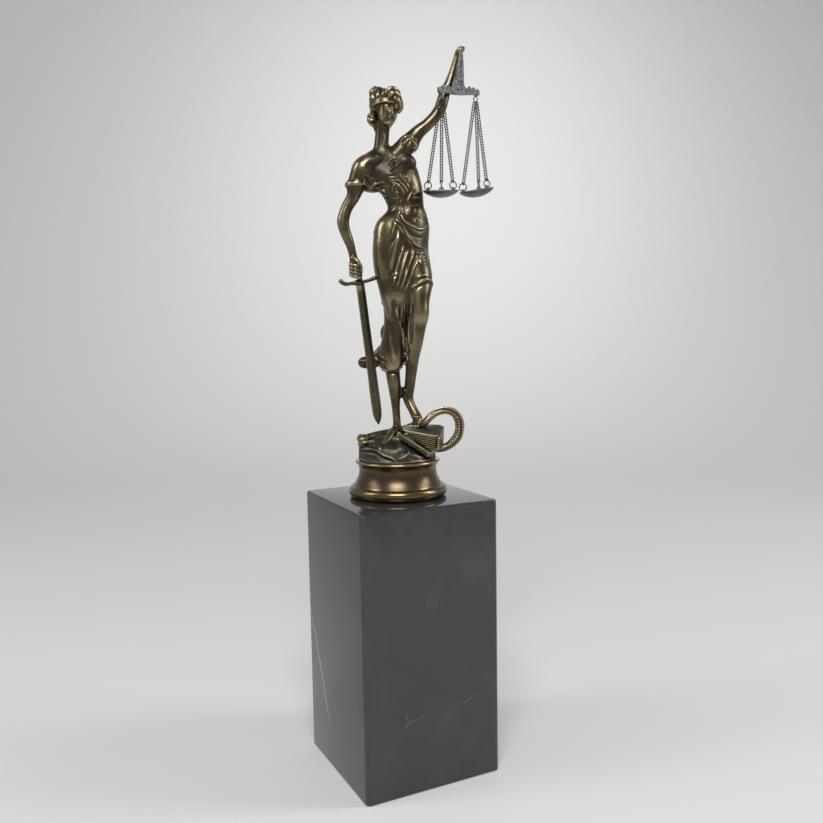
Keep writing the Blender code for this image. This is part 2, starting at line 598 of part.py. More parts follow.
def make_pan(name, place, first_lug, material):
    """A shallow dished pan with three lugs standing on its rim; gives back the middles of the lugs' eyes."""
    outside = [(PAN_RADIUS * share, -PAN_DEPTH * (1 - share**2) ** 0.8) for share in (1.0, 0.92, 0.75, 0.5, 0.25)]
    inside = [(r - PAN_WALL * 0.6, z + PAN_WALL) for r, z in outside[:0:-1]]
    profile = [(0.0, PAN_WALL - PAN_DEPTH), *inside, (PAN_RADIUS - PAN_WALL * 0.7, PAN_WALL * 0.4), *outside, (0.0, -PAN_DEPTH)]
    pan = turned(name, profile, 16, material)
    pan.matrix_world = place
    eyes = []
    for k in range(3):
        bearing = radians(first_lug + 120 * k) + LAYOUT_TURN
        outward = Vector((cos(bearing), sin(bearing), 0))
        eye = place @ (outward * (PAN_RADIUS - LUG_INSET) + UP * LUG_RISE)
        lug = torus(eye, (place.to_3x3() @ outward).normalized(), LUG_RADIUS, LUG_WIRE_RADIUS)
        combine(pan, f"{name}_lug_{k + 1}", lug, "UNION")
        eyes.append(eye)
    return eyes


def make_beam(figure, material):
    """The beam and its stem as one body, its pin let into the raised hand; gives back the beam's middle and its run."""
    held = placed(*STEM_HELD)
    lean = placed(STEM_HELD[0] + STEM_LEAN[0], STEM_HELD[1] + STEM_LEAN[1], STEM_HELD[2]) - held
    middle = held + lean - UP * STEM_LENGTH
    across = (direction(*BEAM_ACROSS) + UP * BEAM_TILT).normalized()
    through = across.cross(UP).normalized() * (BEAM_THICKNESS / 2)
    bm = bmesh.new()
    rings = []
    for share, drop, depth in BEAM_OUTLINE:
        point = middle + across * (share * BEAM_SPAN) - UP * (drop * BEAM_DEPTH)
        high = UP * (BEAM_DEPTH / 2 * depth)
        rings.append([point + through + high * 0.7, point + high, point - through + high * 0.7,
                      point - through - high * 0.7, point - high, point + through - high * 0.7])
    skin(bm, rings)
    beam = add_object("scale_beam", mesh_from(bm, "scale_beam"), material)
    bm = bmesh.new()
    rings = []
    for share, width in STEM_OUTLINE:
        point = middle.lerp(held, share)
        half = across * (STEM_FOOT_WIDTH / 2 * width)
        rings.append([point + half + through * 0.9, point - half + through * 0.9, point - half - through * 0.9, point + half - through * 0.9])
    skin(bm, rings)
    combine(beam, "stem", mesh_from(bm, "stem"), "UNION")
    pin = (held - middle).normalized() * STEM_PIN_LENGTH
    combine(beam, "pin", rod("pin", held - pin * 0.3, held + pin, STEM_PIN_RADIUS, 10), "UNION")
    cut_socket(figure, "stem_socket", held - pin * 0.6, held + pin, STEM_PIN_RADIUS)
    return middle, across


def make_scales(figure, material):
    """The beam, and under each of its ends a ring, three chains, three more rings and a pan."""
    middle, across = make_beam(figure, material)
    for name, side, sway, tilt, first_lug in PANS:
        hook = middle + across * (side * BEAM_HANG_SHARE * BEAM_SPAN) - UP * (BEAM_DEPTH / 2 + LINK_RING_RADIUS + RING_WIRE_RADIUS + GAP)
        make_ring(f"beam_ring_{name}", hook, across, LINK_RING_RADIUS, material)
        apex = hook - UP * (LINK_RING_RADIUS + RING_WIRE_RADIUS + GAP)
        rim = apex - UP * CHAIN_DROP + direction(1, 0) * (sway * SHARE)
        lean = Matrix.Rotation(radians(PAN_LEAN), 4, direction(1, 0)) @ Matrix.Rotation(radians(-tilt), 4, direction(0, 1))
        for k, eye in enumerate(make_pan(f"scale_pan_{name}", Matrix.Translation(rim) @ lean, first_lug, material)):
            centre = eye + UP * PAN_RING_RADIUS
            outward = Vector((eye.x - rim.x, eye.y - rim.y, 0)).normalized()
            make_ring(f"pan_ring_{name}_{k + 1}", centre, UP.cross(outward).normalized(), PAN_RING_RADIUS, material)
            top = apex + outward * CHAIN_SPREAD
            pull = (top - centre).normalized()
            make_chain(f"chain_{name}_{k + 1}", top, centre + pull * (PAN_RING_RADIUS + RING_WIRE_RADIUS + GAP), material)


clear_scene()
statue = new_collection("lady_justice_statue")
tools = new_collection("tools")
bronze = make_material(*BRONZE)
make_plinth(make_material(*MARBLE))
make_socle(make_material(*SOCLE_BRONZE))
justice = make_figure(bronze)
make_sword(justice, bronze)
make_scales(justice, make_material(*SCALE_METAL))
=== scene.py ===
from math import atan2, cos, hypot, pi, radians, sin

import bmesh
import bpy
import numpy as np
from mathutils import Matrix, Vector, kdtree, noise
from mathutils.bvhtree import BVHTree


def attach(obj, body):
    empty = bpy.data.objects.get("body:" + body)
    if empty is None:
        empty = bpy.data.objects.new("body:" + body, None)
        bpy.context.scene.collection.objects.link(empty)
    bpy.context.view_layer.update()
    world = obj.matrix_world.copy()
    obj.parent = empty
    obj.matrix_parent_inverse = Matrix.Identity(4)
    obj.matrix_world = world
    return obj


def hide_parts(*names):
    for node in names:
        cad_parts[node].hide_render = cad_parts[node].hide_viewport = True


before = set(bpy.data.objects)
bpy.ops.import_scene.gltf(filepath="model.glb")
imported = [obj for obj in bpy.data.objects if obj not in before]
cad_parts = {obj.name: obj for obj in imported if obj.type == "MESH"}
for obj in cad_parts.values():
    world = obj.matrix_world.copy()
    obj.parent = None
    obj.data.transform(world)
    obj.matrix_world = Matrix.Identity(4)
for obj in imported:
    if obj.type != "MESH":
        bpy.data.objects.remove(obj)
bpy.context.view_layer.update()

# The figure is laid out in millimetres square to its front view: l across, a away, h up from the socle's top.
layoutTurn = radians(-26.6)
groundLevel = 0.2158
up = Vector((0, 0, 1))

cameraSetup = {
    "place": Vector((-0.2544, -0.5309, 0.3046)),
    "turn": radians(-26.6),
    "dip": radians(5.5),
    "roll": radians(-0.97),
    "lens": 37.51,
}


def placed(l, a, h):
    x = l * cos(layoutTurn) - a * sin(layoutTurn)
    y = l * sin(layoutTurn) + a * cos(layoutTurn)
    return Vector((x * 0.001, y * 0.001, groundLevel + h * 0.001))


def direction(l, a, h=0.0):
    return (placed(l, a, h) - placed(0, 0, 0)).normalized()


def fullTurn(count):
    return np.linspace(0, 2 * pi, count, endpoint=False)


def smoothRows(rows, steps):
    # more rows between the given ones, on a curve through all of them
    rows = np.array(rows, float)
    ends = np.vstack([2 * rows[0] - rows[1], rows, 2 * rows[-1] - rows[-2]])
    out = []
    for i in range(1, len(ends) - 2):
        before, start, end, after = ends[i - 1 : i + 3]
        for t in np.arange(steps) / steps:
            out.append(
                0.5 * (2 * start + (end - before) * t + (2 * before - 5 * start + 4 * end - after) * t**2
                       + (3 * start - before - 3 * end + after) * t**3)
            )
    return np.array(out + [rows[-1]])


def skinRings(bm, rings):
    # joins a row of rings into one closed body, with a fan at each end
    loops = [[bm.verts.new(point) for point in ring] for ring in rings]
    count = len(loops[0])
    for low, high in zip(loops, loops[1:]):
        for i in range(count):
            j = (i + 1) % count
            bm.faces.new((low[i], low[j], high[j], high[i]))
    for loop, backwards in ((loops[0], True), (loops[-1], False)):
        middle = bm.verts.new(sum((v.co for v in loop), Vector()) / count)
        for i in range(count):
            j = (i + 1) % count
            bm.faces.new((loop[j], loop[i], middle) if backwards else (loop[i], loop[j], middle))


def roundTube(bm, points, radii, sides=12, flat=1.0, wide=None):
    # a tube with rounded ends through world points; flat squashes it square to the way "wide"
    points, radii = [Vector(p) for p in points], list(radii)
    for end, inner in ((0, 1), (-1, -2)):
        outward = (points[end] - points[inner]).normalized()
        tips = [points[end] + outward * radii[end] * reach for reach in (0.5, 0.85, 0.99)]
        sizes = [radii[end] * size for size in (0.86, 0.52, 0.14)]
        if end == 0:
            points[:0] = tips[::-1]
            radii[:0] = sizes[::-1]
        else:
            points += tips
            radii += sizes
    side = wide.copy() if wide else (points[1] - points[0]).orthogonal().normalized()
    rings = []
    for i, (point, radius) in enumerate(zip(points, radii)):
        along = (points[min(i + 1, len(points) - 1)] - points[max(i - 1, 0)]).normalized()
        side = (side - along * side.dot(along)).normalized()
        over = along.cross(side)
        rings.append([point + (side * cos(t) + over * sin(t) * flat) * radius for t in fullTurn(sides)])
    skinRings(bm, rings)


def limb(bm, rows, sides=20, steps=5):
    # a limb through rows of l, a, h and radius
    rows = smoothRows(rows, steps)
    roundTube(bm, [placed(*row[:3]) for row in rows], [max(row[3], 0.15) * 0.001 for row in rows], sides)


def loft(bm, rows, sides=56, steps=6):
    # turned ellipses by height: h, l, a, half width, half depth, turn, rise across the front
    rings = []
    for h, l, a, wide, deep, turn, rise in smoothRows(rows, steps):
        turned = radians(turn)
        ring = []
        for t in fullTurn(sides):
            x, y = wide * cos(t), deep * sin(t)
            across = x * cos(turned) - y * sin(turned)
            ring.append(placed(l + across, a + x * sin(turned) + y * cos(turned), h + rise * across))
        rings.append(ring)
    skinRings(bm, rings)


def lump(bm, l, a, h, halfL, halfA, halfH, turn=0, lean=0):
    # a rounded mass such as the skull, a curl or a fist
    shape = (
        Matrix.Translation(placed(l, a, h))
        @ Matrix.Rotation(layoutTurn + radians(turn), 4, "Z")
        @ Matrix.Rotation(radians(lean), 4, "Y")
        @ Matrix.Diagonal((halfL * 0.001, halfA * 0.001, halfH * 0.001, 1))
    )
    bmesh.ops.create_icosphere(bm, subdivisions=3, radius=1, matrix=shape)


def meshFrom(bm, name):
    bmesh.ops.recalc_face_normals(bm, faces=bm.faces)
    mesh = bpy.data.meshes.new(name)
    bm.to_mesh(mesh)
    bm.free()
    return mesh


def inScene(name, data):
    made = bpy.data.objects.new(name, data)
    bpy.context.scene.collection.objects.link(made)
    return made


def newPiece(name, mesh, material, nodes, sharp=60):
    piece = inScene(name, mesh)
    mesh.name = name
    mesh.materials.clear()
    mesh.materials.append(material)
    mesh.shade_smooth()
    mesh.set_sharp_from_angle(angle=radians(sharp))
    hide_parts(*nodes)
    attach(piece, "root")


def settle(holder, name):
    # turns live modifiers into a plain mesh and drops the holder
    bpy.context.view_layer.update()
    evaluated = holder.evaluated_get(bpy.context.evaluated_depsgraph_get())
    mesh = bpy.data.meshes.new_from_object(evaluated)
    mesh.name = name
    bpy.data.objects.remove(holder, do_unlink=True)
    return mesh


def melted(mesh, name, voxel, rounds=0):
    # melts overlapping bodies into one skin and evens out the joints
    holder = inScene(name, mesh)
    fuse = holder.modifiers.new("fuse", "REMESH")
    fuse.mode = "VOXEL"
    fuse.voxel_size = voxel
    if rounds:
        even = holder.modifiers.new("even", "SMOOTH")
        even.factor = 0.5
        even.iterations = rounds
    return settle(holder, name)


def fused(bm, name, voxel, rounds=0):
    return melted(meshFrom(bm, name), name, voxel, rounds)


def turned(name, profile, steps):
    # a closed profile of radius and height, turned once round
    line = bpy.data.meshes.new(name)
    line.from_pydata([(r, 0, z) for r, z in profile], [(i, i + 1) for i in range(len(profile) - 1)], [])
    holder = inScene(name, line)
    lathe = holder.modifiers.new("lathe", "SCREW")
    lathe.steps = lathe.render_steps = steps
    lathe.use_merge_vertices = True
    lathe.merge_threshold = 0.00001
    mesh = settle(holder, name)
    bm = bmesh.new()
    bm.from_mesh(mesh)
    bmesh.ops.remove_doubles(bm, verts=bm.verts, dist=0.00001)
    bmesh.ops.recalc_face_normals(bm, faces=bm.faces)
    return mesh, bm


def vertexPlaces(mesh):
    places = np.zeros(len(mesh.vertices) * 3, np.float32)
    mesh.vertices.foreach_get("co", places)
    return places.reshape(-1, 3).astype(float)


def vertexNormals(mesh):
    normals = np.zeros(len(mesh.vertices) * 3, np.float32)
    mesh.vertex_normals.foreach_get("vector", normals)
    return normals.reshape(-1, 3).astype(float)


def putPlaces(mesh, places):
    mesh.vertices.foreach_set("co", places.astype(np.float32).ravel())
    mesh.update()


def roughen(mesh, grains):
    # the uneven skin of a casting: each grain is its height in metres and how fine it is
    places, normals = vertexPlaces(mesh), vertexNormals(mesh)
    for i, (p, n) in enumerate(zip(places, normals)):
        places[i] += n * sum(height * noise.noise(Vector(p) * fine) for height, fine in grains)
    putPlaces(mesh, places)


def neighbourMean(places, edges, rounds):
    # evens out a field over the mesh by its neighbours, a number of times
    first, second = edges[:, 0], edges[:, 1]
    count = np.bincount(edges.ravel(), minlength=len(places))[:, None]
    for _ in range(rounds):
        total = np.zeros_like(places)
        for i in range(places.shape[1]):
            total[:, i] = np.bincount(first, places[second, i], len(places))
            total[:, i] += np.bincount(second, places[first, i], len(places))
        places = 0.5 * places + 0.5 * total / np.maximum(count, 1)
    return places


def markWear(mesh, fine=3, broad=24, gain=(2600.0, 700.0)):
    # "wear" runs from 0 in hollows over 0.5 on plain ground to 1 on edges and high places
    places, normals = vertexPlaces(mesh), vertexNormals(mesh)
    edges = np.zeros(len(mesh.edges) * 2, np.int32)
    mesh.edges.foreach_get("vertices", edges)
    edges = edges.reshape(-1, 2)
    close = neighbourMean(places, edges, fine)
    wide = neighbourMean(close, edges, broad)
    proud = ((places - close) * normals).sum(1) * gain[0] + ((close - wide) * normals).sum(1) * gain[1]
    proud = neighbourMean(proud[:, None], edges, 2)[:, 0]
    layWear(mesh, np.clip(0.5 + proud, 0, 1))


def layWear(mesh, values):
    wear = mesh.attributes.get("wear") or mesh.attributes.new("wear", "FLOAT", "POINT")
    wear.data.foreach_set("value", values.astype(np.float32))


def evenWear(mesh, value):
    layWear(mesh, np.full(len(mesh.vertices), value))


def fill(tree, node, inputs):
    # sets a node's inputs: another node's socket is linked, anything else is its value
    for name, value in inputs.items():
        if isinstance(value, bpy.types.NodeSocket):
            tree.links.new(value, node.inputs[name])
        else:
            node.inputs[name].default_value = value


def adderFor(tree):
    def add(kind, inputs=(), **settings):
        node = tree.nodes.new(kind)
        for name, value in settings.items():
            setattr(node, name, value)
        fill(tree, node, dict(inputs))
        return node

    return add


def maths(add, operation, first, second=0.0):
    return add("ShaderNodeMath", {0: first, 1: second}, operation=operation).outputs[0]


def spread(add, value, low, high, toLow=0.0, toHigh=1.0):
    # a soft step between two levels
    ends = {"Value": value, "From Min": low, "From Max": high, "To Min": toLow, "To Max": toHigh}
    return add("ShaderNodeMapRange", ends, interpolation_type="SMOOTHSTEP").outputs["Result"]


def blend(add, factor, first, second):
    return add("ShaderNodeMix", {"Factor": factor, "A": first, "B": second}, data_type="RGBA").outputs["Result"]


def cloud(add, vector, scale, detail, rough=0.5):
    look = {"Vector": vector, "Scale": scale, "Detail": detail, "Roughness": rough}
    return add("ShaderNodeTexNoise", look).outputs


# shared finish: what years of handling leave on a patinated casting
def patinaGroup():
    tree = bpy.data.node_groups.new("castPatina", "ShaderNodeTree")
    for side, kind, names in (
        ("INPUT", "NodeSocketColor", ("Hollow Colour", "Ground Colour", "Rubbed Colour", "Olive Colour")),
        ("INPUT", "NodeSocketFloat", ("Wear", "Cloud Scale", "Olive Amount", "Base Roughness")),
        ("OUTPUT", "NodeSocketColor", ("Colour",)),
        ("OUTPUT", "NodeSocketFloat", ("Roughness", "Height")),
    ):
        for name in names:
            tree.interface.new_socket(name, in_out=side, socket_type=kind)
    add = adderFor(tree)
    given = add("NodeGroupInput").outputs
    coords = add("ShaderNodeTexCoord").outputs["Object"]
    broad = cloud(add, coords, given["Cloud Scale"], 4, 0.6)["Fac"]
    grain = cloud(add, coords, 420.0, 6, 0.65)["Fac"]
    pits = cloud(add, coords, 1500.0, 2, 0.5)["Fac"]
    worn = maths(add, "ADD", given["Wear"], maths(add, "MULTIPLY", maths(add, "SUBTRACT", grain, 0.5), 0.22))
    olive = maths(add, "MULTIPLY", spread(add, broad, 0.44, 0.62), given["Olive Amount"])
    ground = blend(add, olive, given["Ground Colour"], given["Olive Colour"])
    rubbed = blend(add, spread(add, worn, 0.52, 0.86), ground, given["Rubbed Colour"])
    rough = maths(add, "ADD", given["Base Roughness"], spread(add, worn, 0.1, 0.8, 0.16, -0.08))
    add("NodeGroupOutput", {
        "Colour": blend(add, spread(add, worn, 0.08, 0.46, 1.0, 0.0), rubbed, given["Hollow Colour"]),
        "Roughness": maths(add, "ADD", rough, maths(add, "MULTIPLY", maths(add, "SUBTRACT", broad, 0.5), 0.20)),
        "Height": maths(add, "ADD", maths(add, "MULTIPLY", grain, 0.6), maths(add, "MULTIPLY", pits, 0.4)),
    })
    return tree


def patinatedMetal(name, look):
    material = bpy.data.materials.new(name)
    material.use_nodes = True
    tree = material.node_tree
    add = adderFor(tree)
    given = {label: (*value, 1) if label.endswith("Colour") else value for label, value in look.items() if label[0].isupper()}
    wear = add("ShaderNodeAttribute", attribute_name="wear").outputs["Fac"]
    group = add("ShaderNodeGroup", dict(given, Wear=wear), node_tree=patina).outputs
    bump = add("ShaderNodeBump", {"Strength": look["bump"], "Distance": 0.0003, "Height": group["Height"]})
    fill(tree, tree.nodes["Principled BSDF"], {
        "Normal": bump.outputs["Normal"], "Base Color": group["Colour"], "Roughness": group["Roughness"],
        "Metallic": look["metallic"], "Coat Weight": look["coat"], "Coat Roughness": look["coatRoughness"],
    })
    return material


patina = patinaGroup()
bronzeLook = {
    "Hollow Colour": (0.010, 0.008, 0.005),
    "Ground Colour": (0.057, 0.039, 0.0165),
    "Rubbed Colour": (0.33, 0.262, 0.152),
    "Olive Colour": (0.045, 0.042, 0.020),
    "Cloud Scale": 55.0,
    "Olive Amount": 0.6,
    "Base Roughness": 0.325,
    "bump": 0.20,
    "metallic": 0.9,
    "coat": 0.36,
    "coatRoughness": 0.29,
}
socleLook = dict(bronzeLook, **{"Ground Colour": (0.078, 0.048, 0.019), "Rubbed Colour": (0.32, 0.22, 0.10), "Cloud Scale": 38.0,
                                "Base Roughness": 0.27, "bump": 0.05, "Olive Amount": 0.4})
rockLook = dict(bronzeLook, **{"Ground Colour": (0.045, 0.041, 0.030), "Rubbed Colour": (0.27, 0.25, 0.185), "Olive Colour": (0.048, 0.057, 0.044), "Olive Amount": 0.6,
                               "Base Roughness": 0.52, "bump": 0.6, "coat": 0.05})
scaleLook = dict(bronzeLook, **{"Hollow Colour": (0.02, 0.022, 0.026), "Ground Colour": (0.115, 0.120, 0.128), "Rubbed Colour": (0.46, 0.46, 0.47),
                                "Olive Colour": (0.060, 0.056, 0.050), "Cloud Scale": 160.0, "Base Roughness": 0.40, "bump": 0.3, "coat": 0.1})
panLook = dict(scaleLook, **{"Ground Colour": (0.105, 0.098, 0.086), "Olive Colour": (0.085, 0.076, 0.060), "Rubbed Colour": (0.44, 0.42, 0.38)})
chainLook = dict(scaleLook, **{"Ground Colour": (0.042, 0.041, 0.040), "Olive Colour": (0.036, 0.033, 0.029), "Base Roughness": 0.36, "bump": 0.1})
bladeLook = dict(bronzeLook, **{"Ground Colour": (0.050, 0.038, 0.022), "Olive Colour": (0.030, 0.033, 0.030), "Base Roughness": 0.40, "Cloud Scale": 90.0})
agedBronze = patinatedMetal("agedBronze", bronzeLook)
socleBronze = patinatedMetal("socleBronze", socleLook)
rockBronze = patinatedMetal("rockBronze", rockLook)
scaleMetal = patinatedMetal("scaleMetal", scaleLook)
panMetal = patinatedMetal("panMetal", panLook)
chainMetal = patinatedMetal("chainMetal", chainLook)
bladeBronze = patinatedMetal("bladeBronze", bladeLook)


marbleLook = {
    "stone": (0.026, 0.026, 0.026, 1), "cloud": (0.036, 0.037, 0.038, 1), "vein": (0.11, 0.11, 0.105, 1),
    "longVein": (0.27, 0.27, 0.265, 1), "longVeinAcross": (0.04, 0.908, -0.419), "longVeinAt": -0.0006,
    "roughness": 0.06, "specular": 0.62,
    # cell scale, line width, where patches of veins begin and are full, shift
    "nets": ((14.0, 0.005, 0.61, 0.68, 0.82), (46.0, 0.010, 0.66, 0.74, 0.31)),
}


def polishedMarble():
    # near-black stone with a few thin pale veins and fine cloudy specks, polished
    look = marbleLook
    material = bpy.data.materials.new("polishedMarble")
    material.use_nodes = True
    tree = material.node_tree
    add = adderFor(tree)
    coords = add("ShaderNodeTexCoord").outputs["Object"]
    warp = cloud(add, coords, 16, 5)["Color"]

    def bent(amount):
        # warped coordinates bend the veins
        return add("ShaderNodeVectorMath", {0: warp, 1: (amount,) * 3, 2: coords}, operation="MULTIPLY_ADD").outputs[0]

    specks = spread(add, cloud(add, coords, 34, 8, 0.62)["Fac"], 0.45, 0.75)
    stone = blend(add, specks, look["stone"], look["cloud"])
    for scale, width, low, high, shift in look["nets"]:
        moved = add("ShaderNodeVectorMath", {0: bent(0.035), 1: (shift, shift * 0.7, shift * 1.3)}).outputs[0]
        cells = add("ShaderNodeTexVoronoi", {"Vector": moved, "Scale": scale}, feature="DISTANCE_TO_EDGE")
        patches = spread(add, cloud(add, moved, scale * 1.4, 3)["Fac"], low, high)
        vein = maths(add, "MULTIPLY", spread(add, cells.outputs["Distance"], width, 0.0), patches)
        stone = blend(add, vein, stone, look["vein"])
    # one long pale vein that runs down the left face, on a plane through the block
    across = add("ShaderNodeVectorMath", {0: bent(0.010), 1: look["longVeinAcross"]}, operation="DOT_PRODUCT")
    off = maths(add, "ABSOLUTE", maths(add, "SUBTRACT", across.outputs["Value"], look["longVeinAt"]))
    height = add("ShaderNodeSeparateXYZ", {"Vector": coords}).outputs["Z"]
    run = maths(add, "MULTIPLY", spread(add, height, 0.012, 0.05), spread(add, height, 0.115, 0.085))
    stone = blend(add, maths(add, "MULTIPLY", spread(add, off, 0.0013, 0.0002), run), stone, look["longVein"])
    gloss = {"Base Color": stone, "Roughness": look["roughness"], "Specular IOR Level": look["specular"]}
    fill(tree, tree.nodes["Principled BSDF"], gloss)
    return material


blackMarble = polishedMarble()
print("materials made")


# the woman: body, dress and hair in one skin
womanForm = {
    "bodyVoxel": 0.00062,
    "bodyEvening": 12,
    "voxel": 0.00040,
    "triangles": 192000,
    "trunk": (
        (84.0, 3.6, 0.0, 4.6, 6.0, 24, 0.2), (94.0, 5.8, -1.6, 9.4, 9.4, 26, 0.34), (104.0, 8.4, -3.2, 14.2, 12.2, 28, 0.42), (112.0, 8.1, -3.0, 17.1, 14.0, 28, 0.34), (120.0, 7.3, -2.0, 18.8, 14.6, 30, 0.22),
        (130.0, 5.9, -1.0, 20.6, 14.4, 30, 0.10), (141.0, 4.8, 0.0, 20.3, 14.2, 30, 0.0), (150.0, 5.4, 0.5, 20.2, 13.8, 30, 0.0),
        (157.5, 6.2, 1.0, 19.8, 13.2, 28, 0.0), (162.0, 6.9, 1.1, 17.8, 12.2, 26, 0.0), (165.5, 8.3, 1.2, 15.4, 10.7, 24, 0.0),
        (168.5, 9.1, 1.2, 13.4, 9.7, 22, 0.0), (171.5, 8.6, 1.2, 12.7, 9.2, 20, 0.0), (178.0, 6.9, 1.2, 14.2, 9.6, 18, 0.0),
        (185.0, 3.6, 1.0, 16.8, 10.2, 16, 0.0), (192.0, 0.2, 1.0, 18.4, 10.2, 14, 0.0), (198.0, -2.6, 1.2, 19.2, 8.8, 12, 0.0),
        (203.5, -4.0, 1.6, 14.4, 7.0, 10, 0.0), (207.5, -5.6, 2.0, 8.4, 5.8, 8, 0.0), (211.0, -6.6, 2.0, 5.6, 5.0, 8, 0.0),
    ),
    "skirt": (
        (60.0, -3.6, 0.5, 5.6, 6.6, 20, 0.0), (63.0, -3.0, 1.0, 7.6, 8.6, 20, 0.0), (70.0, -1.6, 1.8, 9.8, 10.2, 20, 0.0),
        (80.0, -0.4, 2.0, 9.4, 10.4, 20, 0.0), (92.0, 0.9, 1.4, 8.4, 10.0, 20, 0.0), (106.0, 1.3, 0.6, 9.2, 10.6, 20, 0.0),
        (120.0, 1.0, 0.0, 12.2, 12.4, 25, 0.0), (134.0, 2.0, 0.0, 15.0, 13.0, 30, 0.0),
    ),
    "train": ((2, 8, 90, 6.6), (-3.4, 9.2, 77, 7.0), (-9.6, 8.6, 70.6, 6.2), (-16.2, 7, 66.8, 4.9), (-22.2, 5, 66.2, 4.2)),
    "rightLeg": (
        (-3.4, 1, 74, 5.4), (-2.2, 0.6, 60, 5.0), (-1.4, 0, 52, 4.7), (-0.9, -0.5, 45, 4.0),
        (-0.6, -1, 38, 3.2), (-0.3, -1.5, 32, 2.8), (0.1, -1.8, 26, 2.8), (0.2, -1.6, 20, 3.0),
    ),
    "rightFoot": ((0.8, 1.2, 19.6, 3.1), (-1.8, -4, 19.4, 3.3), (-4.6, -9.5, 15.6, 3.3), (-7.2, -14, 12.4, 3.3), (-8.8, -16.6, 11.2, 2.3)),
    "leftLeg": (
        (9, 0, 140, 13.0), (14.0, -5, 128, 11.4), (16.2, -9, 118, 9.6), (16.0, -13, 107, 7.6),
        (16.4, -15, 98, 6.7), (14.9, -13.6, 91, 6.2), (13.0, -10.5, 80, 5.9), (11.4, -7.5, 71, 5.2),
        (10.8, -4.5, 62.5, 4.2), (9.8, -2.6, 54, 3.8), (9.0, -2.2, 48, 3.6), (8.4, -2.8, 43, 3.3),
    ),
    "leftFoot": (
        (7.0, 0.2, 46.2, 3.5), (7.8, -1.8, 42.6, 3.7), (9.2, -3.6, 38, 3.5), (11.8, -6.0, 32.8, 3.3),
        (14.2, -8.8, 28, 3.6), (13.2, -12, 25.2, 2.9), (10.8, -14.6, 24.0, 2.1),
    ),
    "rightArm": (
        (-10, -2.5, 199.5, 6.4), (-15.6, -3.8, 198.8, 6.8), (-19.2, -4.4, 195.2, 7.7), (-21.6, -5, 190, 7.0), (-24.3, -5.5, 183.6, 6.2),
        (-26.2, -6, 177, 4.6), (-29.9, -7, 171, 4.1), (-32.0, -7.8, 166, 4.1), (-33.2, -8.3, 160.5, 4.2),
        (-32.2, -8.8, 155, 3.8), (-30.4, -9.2, 150, 3.6), (-28.6, -9.5, 145, 3.1), (-27.3, -9.8, 139.5, 2.8),
        (-26.4, -10, 135, 3.0), (-26.0, -10, 131, 4.0),
    ),
    "leftArm": (
        (2, 2, 203, 7.6), (9, 2, 210.6, 6.6), (14.5, 2.4, 216.4, 5.6), (18.5, 2.8, 220.8, 4.7),
        (23, 3.3, 224.2, 4.2), (27, 3.8, 228.0, 4.0), (30.2, 4.3, 231.8, 4.0), (33.0, 4.8, 236.0, 4.1),
        (34.8, 5.3, 241.6, 4.1), (36.7, 5.8, 247.4, 3.7), (39.2, 6.2, 253, 3.0), (41.3, 6.6, 259, 2.6),
        (43.2, 6.9, 265, 2.4), (44.8, 7, 270, 2.4), (46.0, 7, 273.6, 2.3),
    ),
    "neck": ((-5.4, 2, 200, 7.0), (-6.6, 2, 206.4, 5.9), (-6.9, 2, 212, 5.1), (-6.2, 1.8, 220, 4.8), (-5.4, 1.4, 227, 5.2)),
    "shoulder": ((-5.6, 2.4, 209, 4.2), (-9.6, 1.2, 205.6, 4.8), (-14.0, -1.6, 201.6, 5.6)),
    # centre l, a, h, half sizes and turn
    "masses": (
        (-13.6, -2.5, 186.0, 9.0, 6.0, 6.2, 14), (-24.2, -5.4, 185.0, 8.0, 7.6, 3.4, 0),
        (15.1, -1.6, 209.8, 2.8, 2.9, 2.9, 0), (11.2, 2, 212.4, 7.6, 7.4, 6.6, 14),
        (9.2, -1.5, 199.0, 7.5, 5.0, 6.8, 14), (-9.4, -3.2, 198.2, 7.4, 5.0, 7.2, 14),
        (-7.2, 6.0, 86.6, 3.4, 3.4, 5.2, 0), (5.6, 0.2, 45.2, 3.2, 3.6, 4.4, 0), (15.4, -16.4, 101.0, 5.2, 4.6, 6.0, 0),
    ),
    "skull": ((-4.4, 1.4, 238.6, 8.0, 9.2, 8.8, 12), (-6.9, 2.8, 238.0, 8.0, 7.4, 7.4, 0)),
    # the right hand's fist round the grip and the left hand round the stem's pin
    "fist": ((-25.8, -10, 131.0, 4.2, 4.4, 5.4, 0), (-25.2, -10.2, 127.4, 4.7, 4.6, 4.6, 0)),
    "raisedHand": ((46.9, 3.6, 273.4, 2.6, 3.1, 2.5, 0), (48.1, 4.6, 274.6, 1.5, 1.6, 1.5, 0)),
}

# the head is turned a little to the statue's left; its face is a plain one of even proportions
headForm = {"centre": (-3.6, -1.0, 233.0), "turn": 22.0}


def fromHead(across, forward, rise):
    # across, forward and up from the head's middle, in millimetres
    turned = radians(headForm["turn"])
    l0, a0, h0 = headForm["centre"]
    return l0 + across * cos(turned) + forward * sin(turned), a0 + across * sin(turned) - forward * cos(turned), h0 + rise


def faceBits(bm):
    turn = headForm["turn"]
    for place, sizes in (
        ((0, 1.4, -1.4), (5.9, 6.3, 8.6)), ((0, 4.2, -7.2), (3.2, 2.9, 3.0)), ((-1.8, 2.8, -3.2), (3.8, 4.0, 5.0)),
        ((1.8, 2.8, -3.2), (3.8, 4.0, 5.0)), ((0, 3.8, 2.0), (5.0, 3.6, 3.4)),
    ):
        lump(bm, *fromHead(*place), *sizes, turn)


